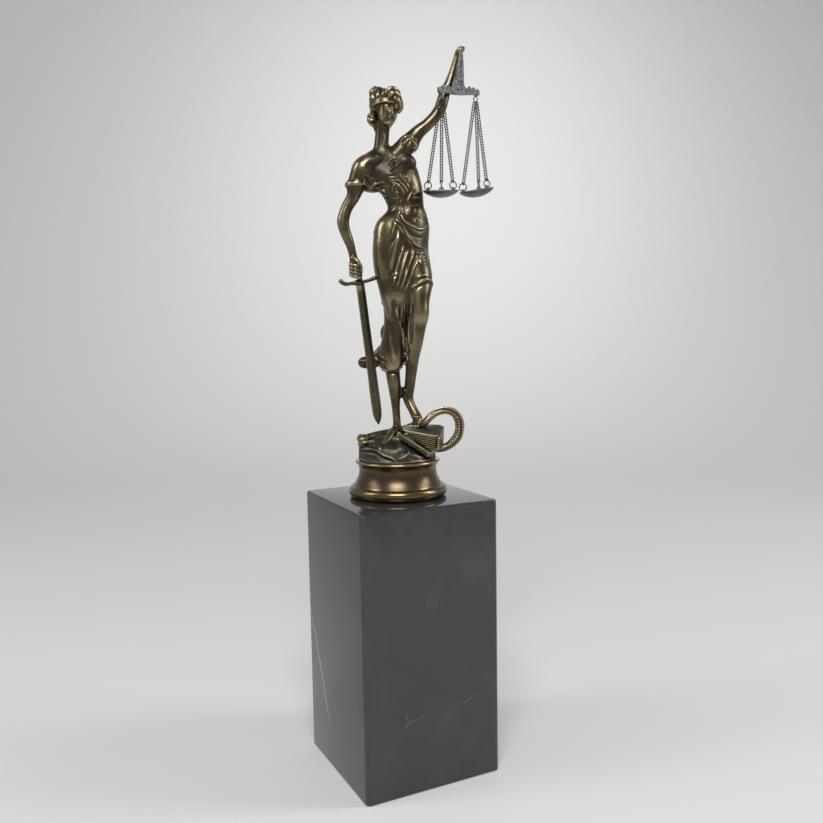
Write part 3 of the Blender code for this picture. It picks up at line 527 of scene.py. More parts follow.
def featureBits(bm):
    limb(bm, [(*fromHead(0, 6.2, 2.0), 0.6), (*fromHead(0, 7.2, 0.2), 0.65), (*fromHead(0, 8.0, -1.5), 0.85), (*fromHead(0, 7.2, -2.2), 0.8)], 12, 4)
    limb(bm, [(*fromHead(-0.9, 6.8, -2.0), 0.5), (*fromHead(0.9, 6.8, -2.0), 0.5)], 10, 3)
    limb(bm, [(*fromHead(-1.8, 6.4, -4.2), 0.35), (*fromHead(-0.5, 7.1, -3.9), 0.55), (*fromHead(0.5, 7.1, -3.9), 0.55), (*fromHead(1.8, 6.4, -4.2), 0.35)], 10, 3)
    limb(bm, [(*fromHead(-1.4, 6.4, -5.0), 0.4), (*fromHead(0, 7.0, -5.2), 0.65), (*fromHead(1.4, 6.4, -5.0), 0.4)], 10, 3)


def hairBits(bm):
    # a coiled bun behind the crown, a rolled mass of curls over the brow and a curl by the ear
    def coil(l, a, h, reach, thick, turns, rise, lean=0.0, start=0.0):
        rows = []
        for t in np.linspace(0, 1, int(turns * 12)):
            angle = start + 2 * pi * turns * t
            r = reach * (1 - 0.62 * t)
            rows.append((l + r * cos(angle), a + r * sin(angle) * 0.75, h + rise * t + r * sin(angle) * lean, thick * (1 - 0.35 * t)))
        limb(bm, rows, 10, 1)

    lump(bm, -9.2, 3.4, 246.2, 5.6, 5.6, 4.2)
    coil(-9.2, 3.4, 247.0, 4.3, 1.7, 1.6, 3.0, 0.12)
    coil(-9.0, 3.4, 248.8, 2.7, 1.3, 1.2, 1.4, 0.1, 2.0)
    lump(bm, 1.6, -2.6, 242.0, 4.6, 5.6, 4.6)
    lump(bm, 3.4, -2.0, 237.6, 3.4, 4.8, 5.0)
    for rows in (
        ((-3.0, -6.0, 241.4, 1.5), (-2.2, -7.6, 243.8, 1.7), (0.2, -7.4, 246.0, 1.8), (3.2, -5.6, 246.2, 1.7), (5.2, -3.0, 244.2, 1.6)),
        ((-0.8, -8.0, 241.0, 1.4), (0.8, -8.6, 242.8, 1.6), (3.2, -7.4, 243.4, 1.6), (5.4, -5.2, 241.8, 1.6), (6.2, -3.2, 239.0, 1.5)),
        ((2.8, -7.2, 240.2, 1.4), (4.6, -6.2, 239.2, 1.6), (6.0, -4.6, 236.8, 1.6), (6.2, -3.2, 234.4, 1.4), (5.4, -2.6, 232.8, 1.1)),
        ((5.2, -1.0, 242.0, 1.6), (6.8, 0.2, 238.6, 1.6), (6.6, 0.6, 235.0, 1.5), (5.0, 0.2, 232.8, 1.1)),
        ((-5.0, -6.0, 240.6, 1.4), (-4.4, -6.8, 243.0, 1.6), (-3.8, -5.4, 245.2, 1.6), (-4.6, -2.6, 246.6, 1.5), (-6.4, 0.6, 247.4, 1.4)),
        ((-8.6, -4.6, 240.4, 1.4), (-8.4, -4.8, 243.0, 1.5), (-8.0, -3.0, 245.2, 1.5), (-8.2, 0.0, 246.4, 1.3)),
        ((-11.4, -2.0, 240.0, 1.4), (-11.8, -1.6, 242.6, 1.5), (-11.2, 0.0, 245.0, 1.5), (-10.4, 2.0, 246.4, 1.3)),
        ((-13.0, 2.0, 239.4, 1.4), (-13.2, 2.6, 242.0, 1.5), (-12.6, 3.4, 244.4, 1.4), (-11.0, 4.4, 246.2, 1.2)),
        ((-12.0, 6.0, 239.4, 1.3), (-12.0, 7.0, 242.0, 1.4), (-10.8, 6.8, 244.6, 1.3)),
        ((-8.0, 9.0, 239.6, 1.3), (-8.2, 9.2, 242.4, 1.4), (-8.6, 7.6, 245.0, 1.3)),
        ((-3.4, 9.4, 239.6, 1.3), (-4.0, 9.2, 242.4, 1.4), (-5.6, 7.6, 245.2, 1.3)),
        ((1.0, 7.4, 240.0, 1.3), (0.2, 7.0, 243.0, 1.4), (-2.4, 5.6, 246.0, 1.3)),
        ((3.4, 3.4, 240.4, 1.3), (2.4, 3.4, 243.4, 1.4), (-1.0, 2.8, 246.6, 1.3)),
    ):
        limb(bm, rows, 12, 4)
    # curl in front of the ear, with the lock that falls from it
    coil(-13.0, -0.4, 229.6, 2.5, 1.35, 1.3, -0.4, 1.0, 1.2)
    lump(bm, -13.0, 1.0, 229.4, 2.4, 2.4, 2.8)
    limb(bm, ((-14.4, 0.6, 231.6, 1.3), (-15.0, 0.8, 228.6, 1.5), (-13.6, 1.6, 226.0, 1.4), (-11.6, 2.0, 224.6, 1.2), (-10.4, 2.4, 221.8, 1.3), (-9.4, 2.6, 219.6, 0.9)), 12, 4)
    limb(bm, ((-12.6, 3.0, 235.4, 1.4), (-12.8, 4.6, 231.6, 1.6), (-11.2, 6.0, 227.6, 1.6), (-8.6, 6.4, 224.4, 1.3)), 12, 4)
    limb(bm, ((2.6, 4.6, 235.4, 1.4), (2.4, 5.4, 231.6, 1.5), (0.2, 6.4, 227.6, 1.5), (-2.4, 6.2, 224.2, 1.2)), 12, 4)
    lump(bm, -5.4, 6.4, 230.4, 6.4, 4.8, 6.0)
    for k in range(7):
        across = -11.0 + 2.0 * k
        limb(bm, ((across, 8.6 - 0.10 * (across + 5) ** 2, 236.0, 1.0), (across * 0.95, 9.8 - 0.11 * (across + 5) ** 2, 231.4, 1.1),
                  (across * 0.8 - 1, 8.4 - 0.10 * (across + 5) ** 2, 226.6, 0.9)), 8, 3)


def blindfoldBits(bm):
    # two lapped folds of cloth right round the head, knotted behind with short tails
    for h, half, grow in ((236.8, 1.1, -0.1), (238.3, 1.0, -0.2)):
        ring = []
        for t in np.linspace(0, 2 * pi, 49):
            turned = radians(14)
            x, y = (8.3 + grow) * cos(t), (9.3 + grow) * sin(t)
            ring.append((-4.0 + x * cos(turned) - y * sin(turned), 0.6 + x * sin(turned) + y * cos(turned), h - 1.2 * sin(t + 0.2), half))
        limb(bm, ring, 10, 1)
    lump(bm, -6.6, 10.0, 238.0, 2.2, 1.8, 2.0)
    limb(bm, ((-6.0, 10.6, 237.4, 1.2), (-3.6, 11.0, 234.4, 1.3), (-3.0, 10.6, 230.6, 1.0)), 10, 4)
    limb(bm, ((-7.4, 10.6, 237.4, 1.2), (-9.6, 11.0, 233.8, 1.3), (-9.4, 10.6, 229.6, 1.0)), 10, 4)


def handBits(bm):
    # four fingers folded round the grip, the thumb over them; the raised hand closes on the stem's pin
    for finger in range(4):
        h = 131.4 - 2.35 * finger
        limb(bm, ((-21.6, -10.6, h - 1.8, 0.9), (-22.4, -13.2, h - 1.3, 1.3), (-25.0, -14.4, h - 0.4, 1.45), (-27.8, -13.4, h + 0.5, 1.4), (-29.0, -10.8, h + 1.0, 1.0)), 14, 3)
    limb(bm, ((-27.0, -11.4, 136.6, 1.8), (-24.2, -12.8, 134.2, 1.75), (-22.2, -13.2, 131.0, 1.6), (-21.6, -13.6, 128.2, 1.3)), 14, 4)
    for k, lean in enumerate((0.0, 1.2, 2.2)):
        limb(bm, ((45.2 + 0.3 * k, 5.4, 271.6 + lean * 0.7, 1.15), (46.4, 2.4 + 0.5 * k, 272.4 + lean, 1.15), (48.8, 2.2 + 0.7 * k, 272.6 + lean, 1.0)), 12, 3)
    limb(bm, ((45.4, 6.6, 273.2, 1.3), (47.4, 5.6, 274.5, 1.2), (49.4, 4.6, 274.8, 0.9)), 12, 3)


def footBits(bm):
    # toes and the sandals' straps
    for toe in range(5):
        limb(bm, ((-9.8 + 1.35 * toe, -15.0 - 0.2 * toe, 11.6 + 0.1 * toe, 1.05), (-11.0 + 1.45 * toe, -17.8 - 0.35 * toe, 10.4, 1.0 + 0.06 * toe)), 10, 3)
        limb(bm, ((14.6 - 1.15 * toe, -13.0 - 0.5 * toe, 25.4, 0.95), (14.2 - 1.35 * toe, -15.8 - 0.3 * toe, 23.6, 0.9)), 10, 3)
    for rows in (
        ((3.6, -1.0, 48.4, 0.5), (6.4, -5.0, 46.8, 0.5), (10.6, -5.0, 45.2, 0.4)), ((3.2, -1.2, 43.6, 0.5), (6.6, -5.3, 41.6, 0.5), (11.0, -5.2, 40.4, 0.4)),
        ((9.8, -8.0, 29.6, 0.5), (13.2, -12.0, 29.6, 0.55), (17.4, -10.8, 29.8, 0.45)),
        ((-4.2, -5.0, 19.6, 0.5), (-2.4, -8.0, 20.2, 0.55), (0.8, -7.4, 18.6, 0.45)), ((-8.4, -9.8, 16.2, 0.5), (-6.0, -12.6, 16.8, 0.55), (-2.4, -12.4, 14.4, 0.45)),
    ):
        limb(bm, rows, 10, 4)


def makeWomanForm():
    f = womanForm
    bm = bmesh.new()
    loft(bm, f["trunk"])
    loft(bm, f["skirt"])
    for name in ("train", "rightLeg", "rightFoot", "leftLeg", "leftFoot", "rightArm", "leftArm", "neck", "shoulder"):
        limb(bm, f[name])
    for row in f["masses"] + f["skull"] + f["fist"] + f["raisedHand"]:
        lump(bm, *row)
    faceBits(bm)
    body = fused(bm, "womanBody", f["bodyVoxel"], f["bodyEvening"])
    bm = bmesh.new()
    bm.from_mesh(body)
    featureBits(bm)
    hairBits(bm)
    blindfoldBits(bm)
    handBits(bm)
    footBits(bm)
    return fused(bm, "womanForm", f["voxel"], 4)


# carving: each mark is its half width and its height in millimetres (below zero it is cut in), then its points,
# given across and up on the figure's middle plane as they are seen from the front
frontMarks = (
    # collar and breasts
    (0.55, 0.45, ((-4.3, 200.5), (-1.9, 199.1), (0.4, 196.7), (3.8, 196.2))),
    (0.5, 0.45, ((3.8, 200.4), (1.4, 199.0), (-0.5, 197.7), (-2.0, 196.7))),
    (0.6, 0.5, ((-4.1, 199.6), (-2.9, 198.2), (-1.7, 198.6), (-1.0, 200.0), (-2.4, 201.2), (-3.8, 200.5))),
    (0.6, 0.5, ((2.9, 200.4), (4.3, 199.9), (3.8, 198.5), (2.8, 198.5))),
    (0.5, -0.5, ((-1.1, 194.4), (0.9, 195.3), (3.3, 195.7))),
    (0.5, -0.35, ((8.1, 200.3), (10.5, 198.9), (13.4, 198.4), (14.8, 199.7))),
    (0.5, -0.25, ((9.1, 197.5), (11.4, 196.5), (14.3, 196.2), (16.7, 196.4))),
    (0.7, 0.35, ((9.5, 195.1), (12.3, 194.2), (15.2, 193.9), (17.4, 194.5))),
    (0.7, 0.4, ((-1.2, 202.6), (1.0, 203.0), (3.4, 202.3))),
    # cartouche
    (0.45, 0.45, ((5.9, 193.3), (6.6, 195.0), (9.0, 195.4), (11.2, 194.2), (11.7, 191.8), (11.6, 189.5), (10.8, 187.1), (8.9, 188.1), (7.2, 190.0), (6.0, 191.9), (5.9, 193.3))),
    (0.4, 0.35, ((7.3, 193.1), (8.5, 193.8), (9.9, 193.0), (10.4, 190.9), (9.9, 189.0), (8.4, 190.0), (7.5, 191.7), (7.3, 193.1))),
    (0.35, -0.3, ((8.5, 192.3), (9.2, 191.4), (9.2, 190.2))),
    # lacing
    (0.55, 0.5, ((-3.5, 192.1), (-1.1, 193.0), (1.3, 192.9))),
    (0.55, 0.5, ((-1.6, 189.7), (0.3, 190.6), (3.6, 190.1))),
    (0.5, 0.45, ((-1.2, 187.8), (1.2, 188.7), (4.6, 187.7))),
    (0.5, 0.4, ((-0.3, 186.4), (1.7, 186.8), (5.5, 185.8))),
    (0.45, -0.45, ((-2.6, 191.4), (-0.2, 191.8), (2.7, 191.5))),
    (0.45, -0.45, ((-1.7, 188.8), (0.7, 189.4), (4.1, 188.9))),
    (0.45, -0.4, ((-0.3, 187.1), (2.2, 187.5), (5.0, 186.8))),
    (0.4, 0.4, ((4.6, 191.9), (6.5, 189.6), (8.9, 187.2), (10.7, 184.3), (11.7, 181.5))),
    (0.4, -0.4, ((3.9, 191.0), (5.8, 188.6), (8.1, 186.2), (10.0, 183.4), (10.9, 180.5))),
    (0.4, 0.4, ((3.2, 190.1), (5.0, 187.7), (7.4, 185.3), (9.3, 182.5), (10.2, 179.6))),
    (0.4, -0.4, ((2.4, 189.2), (4.3, 186.8), (6.4, 184.4), (8.3, 181.5), (9.2, 178.7))),
    (0.4, 0.4, ((2.2, 187.8), (3.6, 185.4), (5.7, 183.2), (7.3, 180.4), (8.2, 177.8))),
    # spirals
    (0.45, 0.45, ((0.6, 183.1), (1.3, 182.4), (2.5, 182.6), (3.0, 183.7), (2.3, 184.9), (1.1, 185.2), (0.2, 184.5), (-0.1, 183.1), (0.4, 181.4), (1.8, 180.9))),
    (0.45, 0.45, ((4.5, 184.4), (3.6, 185.4), (2.6, 186.3), (1.6, 185.9))),
    (0.45, 0.45, ((1.0, 179.3), (2.0, 180.2), (3.2, 180.4), (3.7, 179.5), (3.2, 178.3), (2.0, 177.9), (0.8, 178.4))),
    (0.45, 0.4, ((-0.4, 177.9), (1.0, 176.5), (3.4, 176.9), (5.3, 176.4))),
    (0.4, 0.4, ((2.4, 176.9), (3.4, 175.5), (3.3, 173.6), (2.3, 172.2))),
    (0.4, 0.4, ((4.3, 175.9), (5.3, 174.5), (6.3, 175.4), (5.8, 176.9))),
    # lyre
    (0.5, 0.5, ((12.6, 181.5), (12.1, 179.1), (11.1, 176.8), (10.1, 174.4), (11.5, 173.0))),
    (0.5, 0.5, ((12.6, 180.0), (14.0, 179.1), (15.5, 179.5), (16.0, 181.4))),
    (0.5, 0.5, ((13.0, 177.7), (14.9, 176.7), (16.9, 177.1), (17.8, 176.2))),
    (0.5, 0.5, ((11.7, 182.9), (13.1, 183.6), (14.1, 182.8), (13.1, 182.2), (12.2, 182.4))),
    # bodice front
    (0.5, 0.5, ((12.6, 174.6), (11.2, 172.9), (13.4, 171.8), (15.6, 172.3), (17.3, 171.7))),
    (0.45, 0.45, ((13.9, 169.6), (12.5, 170.2), (11.4, 169.4), (11.6, 167.7), (13.0, 166.8), (14.7, 167.6), (14.8, 169.6), (13.4, 171.0), (11.4, 170.7), (10.2, 169.1), (10.5, 166.9), (12.2, 165.5), (14.1, 166.0))),
    (0.45, 0.45, ((15.5, 164.6), (16.9, 164.8), (18.3, 163.3))),
    (0.45, 0.4, ((12.1, 162.4), (13.2, 163.2), (14.4, 162.4), (14.0, 161.0), (15.4, 160.2))),
    (0.5, 0.4, ((15.4, 159.6), (16.6, 161.2), (17.7, 159.6), (16.5, 158.5), (15.4, 159.1))),
    (0.45, 0.4, ((20.6, 166.2), (21.1, 164.5), (22.2, 163.6))),
    (0.45, 0.4, ((23.1, 165.0), (23.6, 162.8), (22.8, 161.1), (21.1, 160.1))),
    (0.4, -0.3, ((7.2, 171.9), (7.7, 169.7), (8.2, 166.9), (9.9, 164.7))),
    (0.5, 0.4, ((5.5, 171.4), (4.4, 169.7), (4.9, 168.1), (3.2, 166.4))),
    (0.5, 0.4, ((1.6, 172.0), (1.0, 170.4), (-0.2, 168.7), (-1.9, 168.2))),
    (0.5, 0.45, ((6.7, 174.7), (5.5, 172.5), (7.2, 170.8))),
    # hems
    (0.75, 0.8, ((4.3, 167.5), (5.4, 165.3), (7.0, 162.5), (10.4, 159.7), (14.3, 157.1), (17.6, 156.0), (21.0, 156.5), (24.2, 159.5))),
    (0.75, 0.8, ((0.3, 163.7), (2.5, 162.0), (4.7, 160.3), (6.4, 158.1), (8.0, 155.3), (9.7, 151.9), (13.0, 148.0), (15.2, 145.5), (18.6, 143.7), (21.9, 142.7))),
    (0.55, -0.6, ((4.0, 166.2), (4.9, 164.2), (6.7, 161.4), (9.8, 158.6), (14.0, 155.9), (17.6, 154.7), (21.3, 155.4), (24.7, 158.3))),
    (0.55, -0.6, ((-0.3, 162.9), (1.9, 161.0), (4.1, 159.5), (5.7, 157.3), (7.2, 154.5), (8.9, 151.0), (12.1, 146.9), (14.6, 144.4), (18.3, 142.5), (21.6, 141.5))),
    (0.9, 0.95, ((11.9, 116.2), (13.6, 117.8), (17.0, 120.0), (20.5, 121.9), (22.7, 122.2), (25.0, 121.0), (25.8, 118.2), (25.5, 115.9))),
    (0.7, -0.6, ((13.3, 115.0), (15.3, 116.7), (18.2, 118.3), (21.0, 119.4), (23.3, 119.3))),
    # folds
    (1.4, 0.7, ((0.3, 161.5), (1.4, 159.3), (0.4, 154.9), (-1.1, 149.3))),
    (1.2, -0.7, ((2.2, 158.2), (1.4, 154.3), (0.3, 149.3), (-0.9, 144.9))),
    (1.5, 0.8, ((3.8, 153.7), (2.4, 148.2), (0.7, 142.1), (-1.1, 134.9), (-2.6, 128.2))),
    (1.4, -0.9, ((5.7, 148.1), (4.1, 142.6), (2.2, 135.9), (0.2, 129.2), (-1.6, 123.7))),
    (0.5, 0.6, ((17.9, 139.0), (17.6, 135.7), (18.1, 133.4), (20.1, 132.3), (22.1, 133.4), (22.4, 135.6), (21.9, 138.9), (20.2, 140.1), (17.9, 139.0))),
    (0.5, 0.5, ((19.3, 137.6), (19.1, 135.6), (20.1, 134.2), (21.1, 135.3), (21.0, 137.6), (19.3, 137.6))),
    (0.6, 0.6, ((15.1, 141.3), (17.4, 139.6), (19.1, 140.1), (21.9, 140.1))),
    (0.6, 0.6, ((-1.0, 124.8), (0.7, 125.9), (2.4, 126.4), (1.8, 124.2), (0.1, 122.5), (1.8, 122.5), (3.0, 124.2))),
    # lower skirt
    (0.55, 0.95, ((3.1, 94.4), (3.7, 91.9), (4.9, 86.9), (5.4, 80.7), (6.2, 73.9), (7.7, 70.8), (8.3, 68.3), (7.0, 65.2), (5.4, 63.3), (3.5, 62.1))),
    (1.1, -1.1, ((6.5, 93.1), (7.3, 86.9), (7.7, 80.7), (8.7, 75.1), (9.3, 71.4))),
    (0.9, 0.7, ((3.0, 104.9), (1.7, 101.8), (2.3, 98.1), (3.2, 95.6))),
    (0.6, 0.6, ((7.4, 107.2), (6.7, 103.6), (6.7, 100.5), (5.3, 96.8))),
    (1.3, -0.6, ((-0.6, 108.6), (-1.3, 104.9), (-1.4, 100.0), (-0.9, 95.1))),
    (0.7, 0.45, ((9.7, 99.2), (9.3, 92.4), (9.2, 85.0), (9.4, 78.8))),
    (1.0, -1.0, ((12.3, 105.9), (11.7, 99.2), (11.4, 92.4), (11.1, 85.6), (10.5, 78.8))),
    (1.6, 0.4, ((-4.0, 94.5), (-3.5, 87.7), (-3.0, 80.9), (-1.9, 74.0), (-0.8, 66.5))),
    (1.2, 0.6, ((-9.6, 79.1), (-11.2, 75.4), (-13.8, 72.4), (-16.3, 70.5))),
    (0.7, 0.5, ((-14.5, 69.3), (-10.8, 67.3), (-6.4, 66.0))),
    (0.7, -0.6, ((-13.9, 66.1), (-10.2, 65.5), (-7.1, 62.9))),
    (0.6, 0.5, ((-15.2, 62.1), (-10.9, 63.0), (-7.8, 61.7), (-5.9, 59.8))),
    (0.4, 0.4, ((-6.2, 60.1), (-1.6, 59.4), (2.5, 60.3))),
    (0.4, -0.6, ((-6.3, 59.0), (-1.6, 58.4), (2.8, 59.2))),
    # right armpit folds
    (0.8, -0.7, ((-17.5, 191.4), (-16.6, 188.5), (-14.2, 185.2))),
    (0.7, 0.6, ((-17.0, 192.3), (-14.6, 190.4), (-13.2, 188.5))),
    (0.7, 0.6, ((-18.5, 189.5), (-19.0, 186.7), (-16.6, 184.8))),
    (0.7, 0.7, ((-13.3, 184.7), (-10.8, 186.1), (-7.9, 187.0), (-4.6, 187.4))),
    (0.6, -0.7, ((-12.8, 183.3), (-10.4, 184.2), (-7.5, 185.1), (-5.1, 185.5))),
    (0.7, 0.7, ((-10.9, 181.8), (-8.5, 182.8), (-6.1, 181.8), (-4.2, 179.9))),
    (0.6, -0.6, ((-8.5, 184.6), (-6.6, 183.2), (-4.2, 181.7))),
    (0.6, 0.5, ((-7.1, 179.9), (-5.7, 178.9), (-3.8, 178.4))),
    # left sleeve
    (0.5, 0.5, ((5.0, 212.5), (7.0, 215.3), (9.9, 217.1), (12.8, 218.5))),
    (0.5, -0.5, ((6.2, 211.6), (7.9, 214.3), (10.3, 216.2), (13.2, 217.5))),
    (0.5, 0.5, ((7.9, 211.1), (8.9, 213.4), (10.8, 214.8), (13.2, 215.7))),
    (0.5, -0.5, ((9.3, 210.6), (10.3, 212.4), (11.7, 213.8), (13.2, 214.3))),
    (0.5, 0.5, ((10.7, 210.1), (11.4, 211.5), (12.7, 212.9))),
    (0.5, 0.6, ((12.8, 219.4), (13.7, 217.0), (16.0, 214.7), (17.4, 212.8))),
    (0.5, 0.6, ((12.0, 217.5), (13.2, 215.2), (15.1, 212.8), (16.9, 210.9))),
    # neck
    (0.8, -0.4, ((-3.0, 217.8), (-2.8, 215.0), (-3.4, 211.7))),
    (0.7, 0.4, ((-5.3, 221.1), (-5.0, 215.5), (-6.1, 209.4))),
    (0.9, 0.4, ((-15.7, 206.3), (-12.3, 206.7), (-8.1, 204.3), (-4.2, 204.3))),
)


# gathers: how many marks, their half width and height, and the first and last of them; every other one is cut in
frontGathers = (
    (7, 0.5, 0.55, ((7.0, 144.8), (5.2, 140.3), (3.4, 134.8), (1.6, 129.2), (0.4, 123.6), (-0.6, 117.5)), ((17.9, 139.0), (15.7, 134.0), (13.6, 129.0), (11.7, 124.0), (9.4, 119.0), (6.5, 113.4))),
    (3, 0.9, 0.4, ((5.4, 164.2), (8.7, 159.7), (14.2, 155.7), (21.0, 155.1)), ((1.4, 160.9), (6.3, 154.8), (11.3, 148.0), (19.7, 144.0))),
    (3, 0.6, 0.45, ((14.8, 122.8), (18.3, 125.0), (21.7, 125.3)), ((14.8, 118.9), (18.2, 121.7), (22.2, 123.0))),
    (4, 0.5, 0.5, ((0.5, 104.9), (0.8, 101.8), (1.7, 98.7), (2.8, 95.3)), ((8.0, 107.2), (7.4, 102.9), (6.5, 99.3), (4.7, 95.0))),
    (3, 0.55, 0.4, ((10.1, 101.0), (9.6, 92.4), (9.3, 83.8)), ((12.3, 101.6), (11.5, 92.4), (10.8, 83.7))),
    (5, 0.5, 0.4, ((-13.3, 185.7), (-10.3, 187.0), (-7.4, 188.4)), ((-9.5, 179.9), (-7.1, 181.8), (-4.7, 182.2))),
    (3, 0.9, 0.4, ((-12.5, 74.2), (-10.1, 70.4), (-6.4, 69.1)), ((-13.9, 65.5), (-10.2, 64.8), (-6.5, 63.5))),
)

# the back is plain to the photograph, so it carries long folds in the front's manner
backGathers = (
    (9, 1.1, 0.75, ((-13.0, 160), (-12.0, 140), (-9.0, 115), (-8.0, 92), (-13.0, 74)), ((14.0, 160), (14.0, 138), (11.0, 112), (7.0, 88), (3.0, 66))),
    (5, 0.8, 0.5, ((-16.0, 198), (-10.0, 188), (-4.0, 176)), ((14.0, 200), (12.0, 188), (9.0, 176))),
    (3, 0.7, 0.6, ((-12.0, 168), (0.0, 164), (14.0, 170)), ((-14.0, 160), (0.0, 157), (16.0, 163))),
)


def betweenMarks(rows):
    marks = []
    for count, width, height, first, last in rows:
        first, last = smoothRows(first, 8), smoothRows(last, 8)
        for k in range(count):
            share = k / max(1, count - 1)
            line = np.array([low * (1 - share) + high * share for low, high in zip(first, last)])
            # no fold is quite parallel to its neighbour
            line[:, 0] += [0.22 * width * sin(0.9 * i + 2.3 * k) for i in range(len(line))]
            marks.append((width, height * (1 if k % 2 == 0 else -1) * (0.8 + 0.3 * sin(1.7 * k) ** 2), [tuple(p) for p in line[::4]]))
    return marks


def rayOnto(tree, l, h, behind=False):
    if behind:
        start, way = placed(l, 70, h), direction(0, -1, 0)
    else:
        start = cameraSetup["place"]
        way = (placed(l, 0, h) - start).normalized()
    place, normal, _, _ = tree.ray_cast(start, way)
    return place, normal


carveForm = {"step": 0.35, "reach": 0.0024, "taper": 0.3, "longestTaper": 14.0, "facing": 0.1, "deepest": -1.9, "proudest": 1.5}


def carve(mesh, marks, behind=False):
    f = carveForm
    places, normals = vertexPlaces(mesh), vertexNormals(mesh)
    tree = BVHTree.FromPolygons([Vector(p) for p in places], [tuple(face.vertices) for face in mesh.polygons])
    near = kdtree.KDTree(len(places))
    for i, p in enumerate(places):
        near.insert(p, i)
    near.balance()
    push = np.zeros(len(places))
    for width, height, points in marks:
        length = sum(hypot(b[0] - a[0], b[1] - a[1]) for a, b in zip(points, points[1:]))
        fine = smoothRows(points, max(2, int(length / f["step"] / (len(points) - 1)) + 1))
        taper = max(2.0, min(f["longestTaper"], f["taper"] * len(fine)))
        weights = {}
        for k, (l, h) in enumerate(fine):
            place, normal = rayOnto(tree, l, h, behind)
            if place is None:
                continue
            ease = min(1.0, (k + 1) / taper, (len(fine) - k) / taper)
            for _, index, distance in near.find_range(place, width * f["reach"]):
                if normal.dot(Vector(normals[index])) < f["facing"]:
                    continue
                weight = ease * np.exp(-((distance * 1000 / width) ** 2))
                weights[index] = max(weight, weights.get(index, 0))
        for index, weight in weights.items():
            push[index] += height * weight
    putPlaces(mesh, places + normals * np.clip(push, f["deepest"], f["proudest"])[:, None] * 0.001)


# painted shade: spots where the wear, and with it the colour and shine, is turned down to stand for shade; l, a, h,
# reach and how much wear is taken off
paintedShadeSpots = ((-22.2, 5.0, 66.2, 5.5, 0.8), (17.0, -12.0, 150.5, 5.0, 0.8), (5.6, 0.0, 45.0, 4.5, 0.6), (-7.0, -8.0, 196.0, 7.5, 0.75), (-9.0, 2.0, 189.0, 6.0, 0.6), (9.5, -6.0, 200.0, 6.5, 0.75))


def darkenForShade(mesh, spots):
    places = vertexPlaces(mesh)
    values = np.zeros(len(places), np.float32)
    mesh.attributes["wear"].data.foreach_get("value", values)
    for l, a, h, reach, share in spots:
        # painted shade: the wear falls off round each spot, so the colour there is darker
        away = np.linalg.norm(places - np.array(placed(l, a, h)), axis=1) * 1000 / reach
        values *= 1 - share * np.exp(-(away**2))
    layWear(mesh, values)


def makeWoman():
    mesh = makeWomanForm()
    carve(mesh, frontMarks)
    carve(mesh, betweenMarks(frontGathers))
    carve(mesh, betweenMarks(backGathers), behind=True)
    holder = inScene("womanCasting", mesh)
    thin = holder.modifiers.new("thin", "DECIMATE")
    thin.ratio = min(1.0, womanForm["triangles"] / (2 * len(mesh.polygons)))
    mesh = settle(holder, "womanCasting")
    markWear(mesh)
    # painted shade on the chest, belly, right side, heel and the train's end
    darkenForShade(mesh, paintedShadeSpots)
    newPiece("womanCasting", mesh, agedBronze, ["justice_figure"])


makeWoman()
print("woman cast and carved")


# the rocky ground under her, with the hem of a cloth lying over it
groundForm = {
    "radius": 26.9,
    "rim": ((0, 1.0), (1.5, 1.0), (3, 0.995), (5, 0.99), (6.5, 0.985), (8, 0.975), (9.5, 0.955), (10.8, 0.92), (12, 0.86), (13, 0.78), (14, 0.67), (14.8, 0.55), (15.4, 0.42), (15.9, 0.28), (16.2, 0.14)),
    "rocks": ((-22.6, -7.5, 11.6, 4.4, 5.0, 4.4, 20), (-15.6, -9, 12.2, 6.0, 5.0, 2.6, 10), (-11.0, -4.0, 14.6, 6.4, 5.0, 2.4, 0),
              (-14.0, 9.0, 13.4, 7.0, 6.4, 2.8, 0), (5.0, 16.0, 11.4, 7.0, 5.0, 3.0, 0), (0.6, -12.0, 14.6, 4.6, 4.0, 2.6, 0)),
}
groundMarks = (
    (0.55, 0.8, ((-27.1, 8.5), (-25.9, 6.4), (-22.1, 6.8), (-18.3, 6.3), (-14.5, 5.2), (-11.4, 3.0), (-8.3, 1.3), (-5.2, 0.3), (-2.7, -1.0), (-0.2, -3.3))),
    (1.1, -0.8, ((-26.5, 6.4), (-23.4, 5.3), (-19.0, 4.8), (-14.9, 3.7), (-11.8, 1.4), (-8.7, -0.3), (-5.5, -1.3), (-3.0, -2.6))),
    (0.6, 0.5, ((1.1, -1.4), (4.3, 0.5), (7.5, 3.0), (8.4, 5.2))),
    (2.2, -0.9, ((1.1, 1.2), (3.7, 4.3), (6.3, 6.5))),
    (1.4, -0.6, ((8.7, 1.0), (11.2, -0.3), (13.7, -1.0))),
    (0.8, 0.5, ((11.2, 2.3), (15.0, 0.3), (18.7, -0.4))),
    (1.2, -0.7, ((19.4, 0.2), (22.5, -0.5), (25.7, 0.1))),
    (0.8, 0.6, ((9.9, -2.8), (13.7, -2.2), (17.4, -2.8), (21.2, -1.9))),
    (1.0, 0.5, ((-21.3, 11.1), (-18.2, 12.3), (-15.1, 11.0), (-16.4, 9.1))),
    (0.8, -0.6, ((-22.0, 9.2), (-18.3, 8.5), (-14.5, 7.8))),
    (1.6, -0.35, ((-24.7, 2.2), (-19.0, 1.5), (-12.8, -0.5))),
    (0.8, 0.4, ((-13.8, 9.0), (-12.0, 7.1), (-13.3, 5.9))),
)


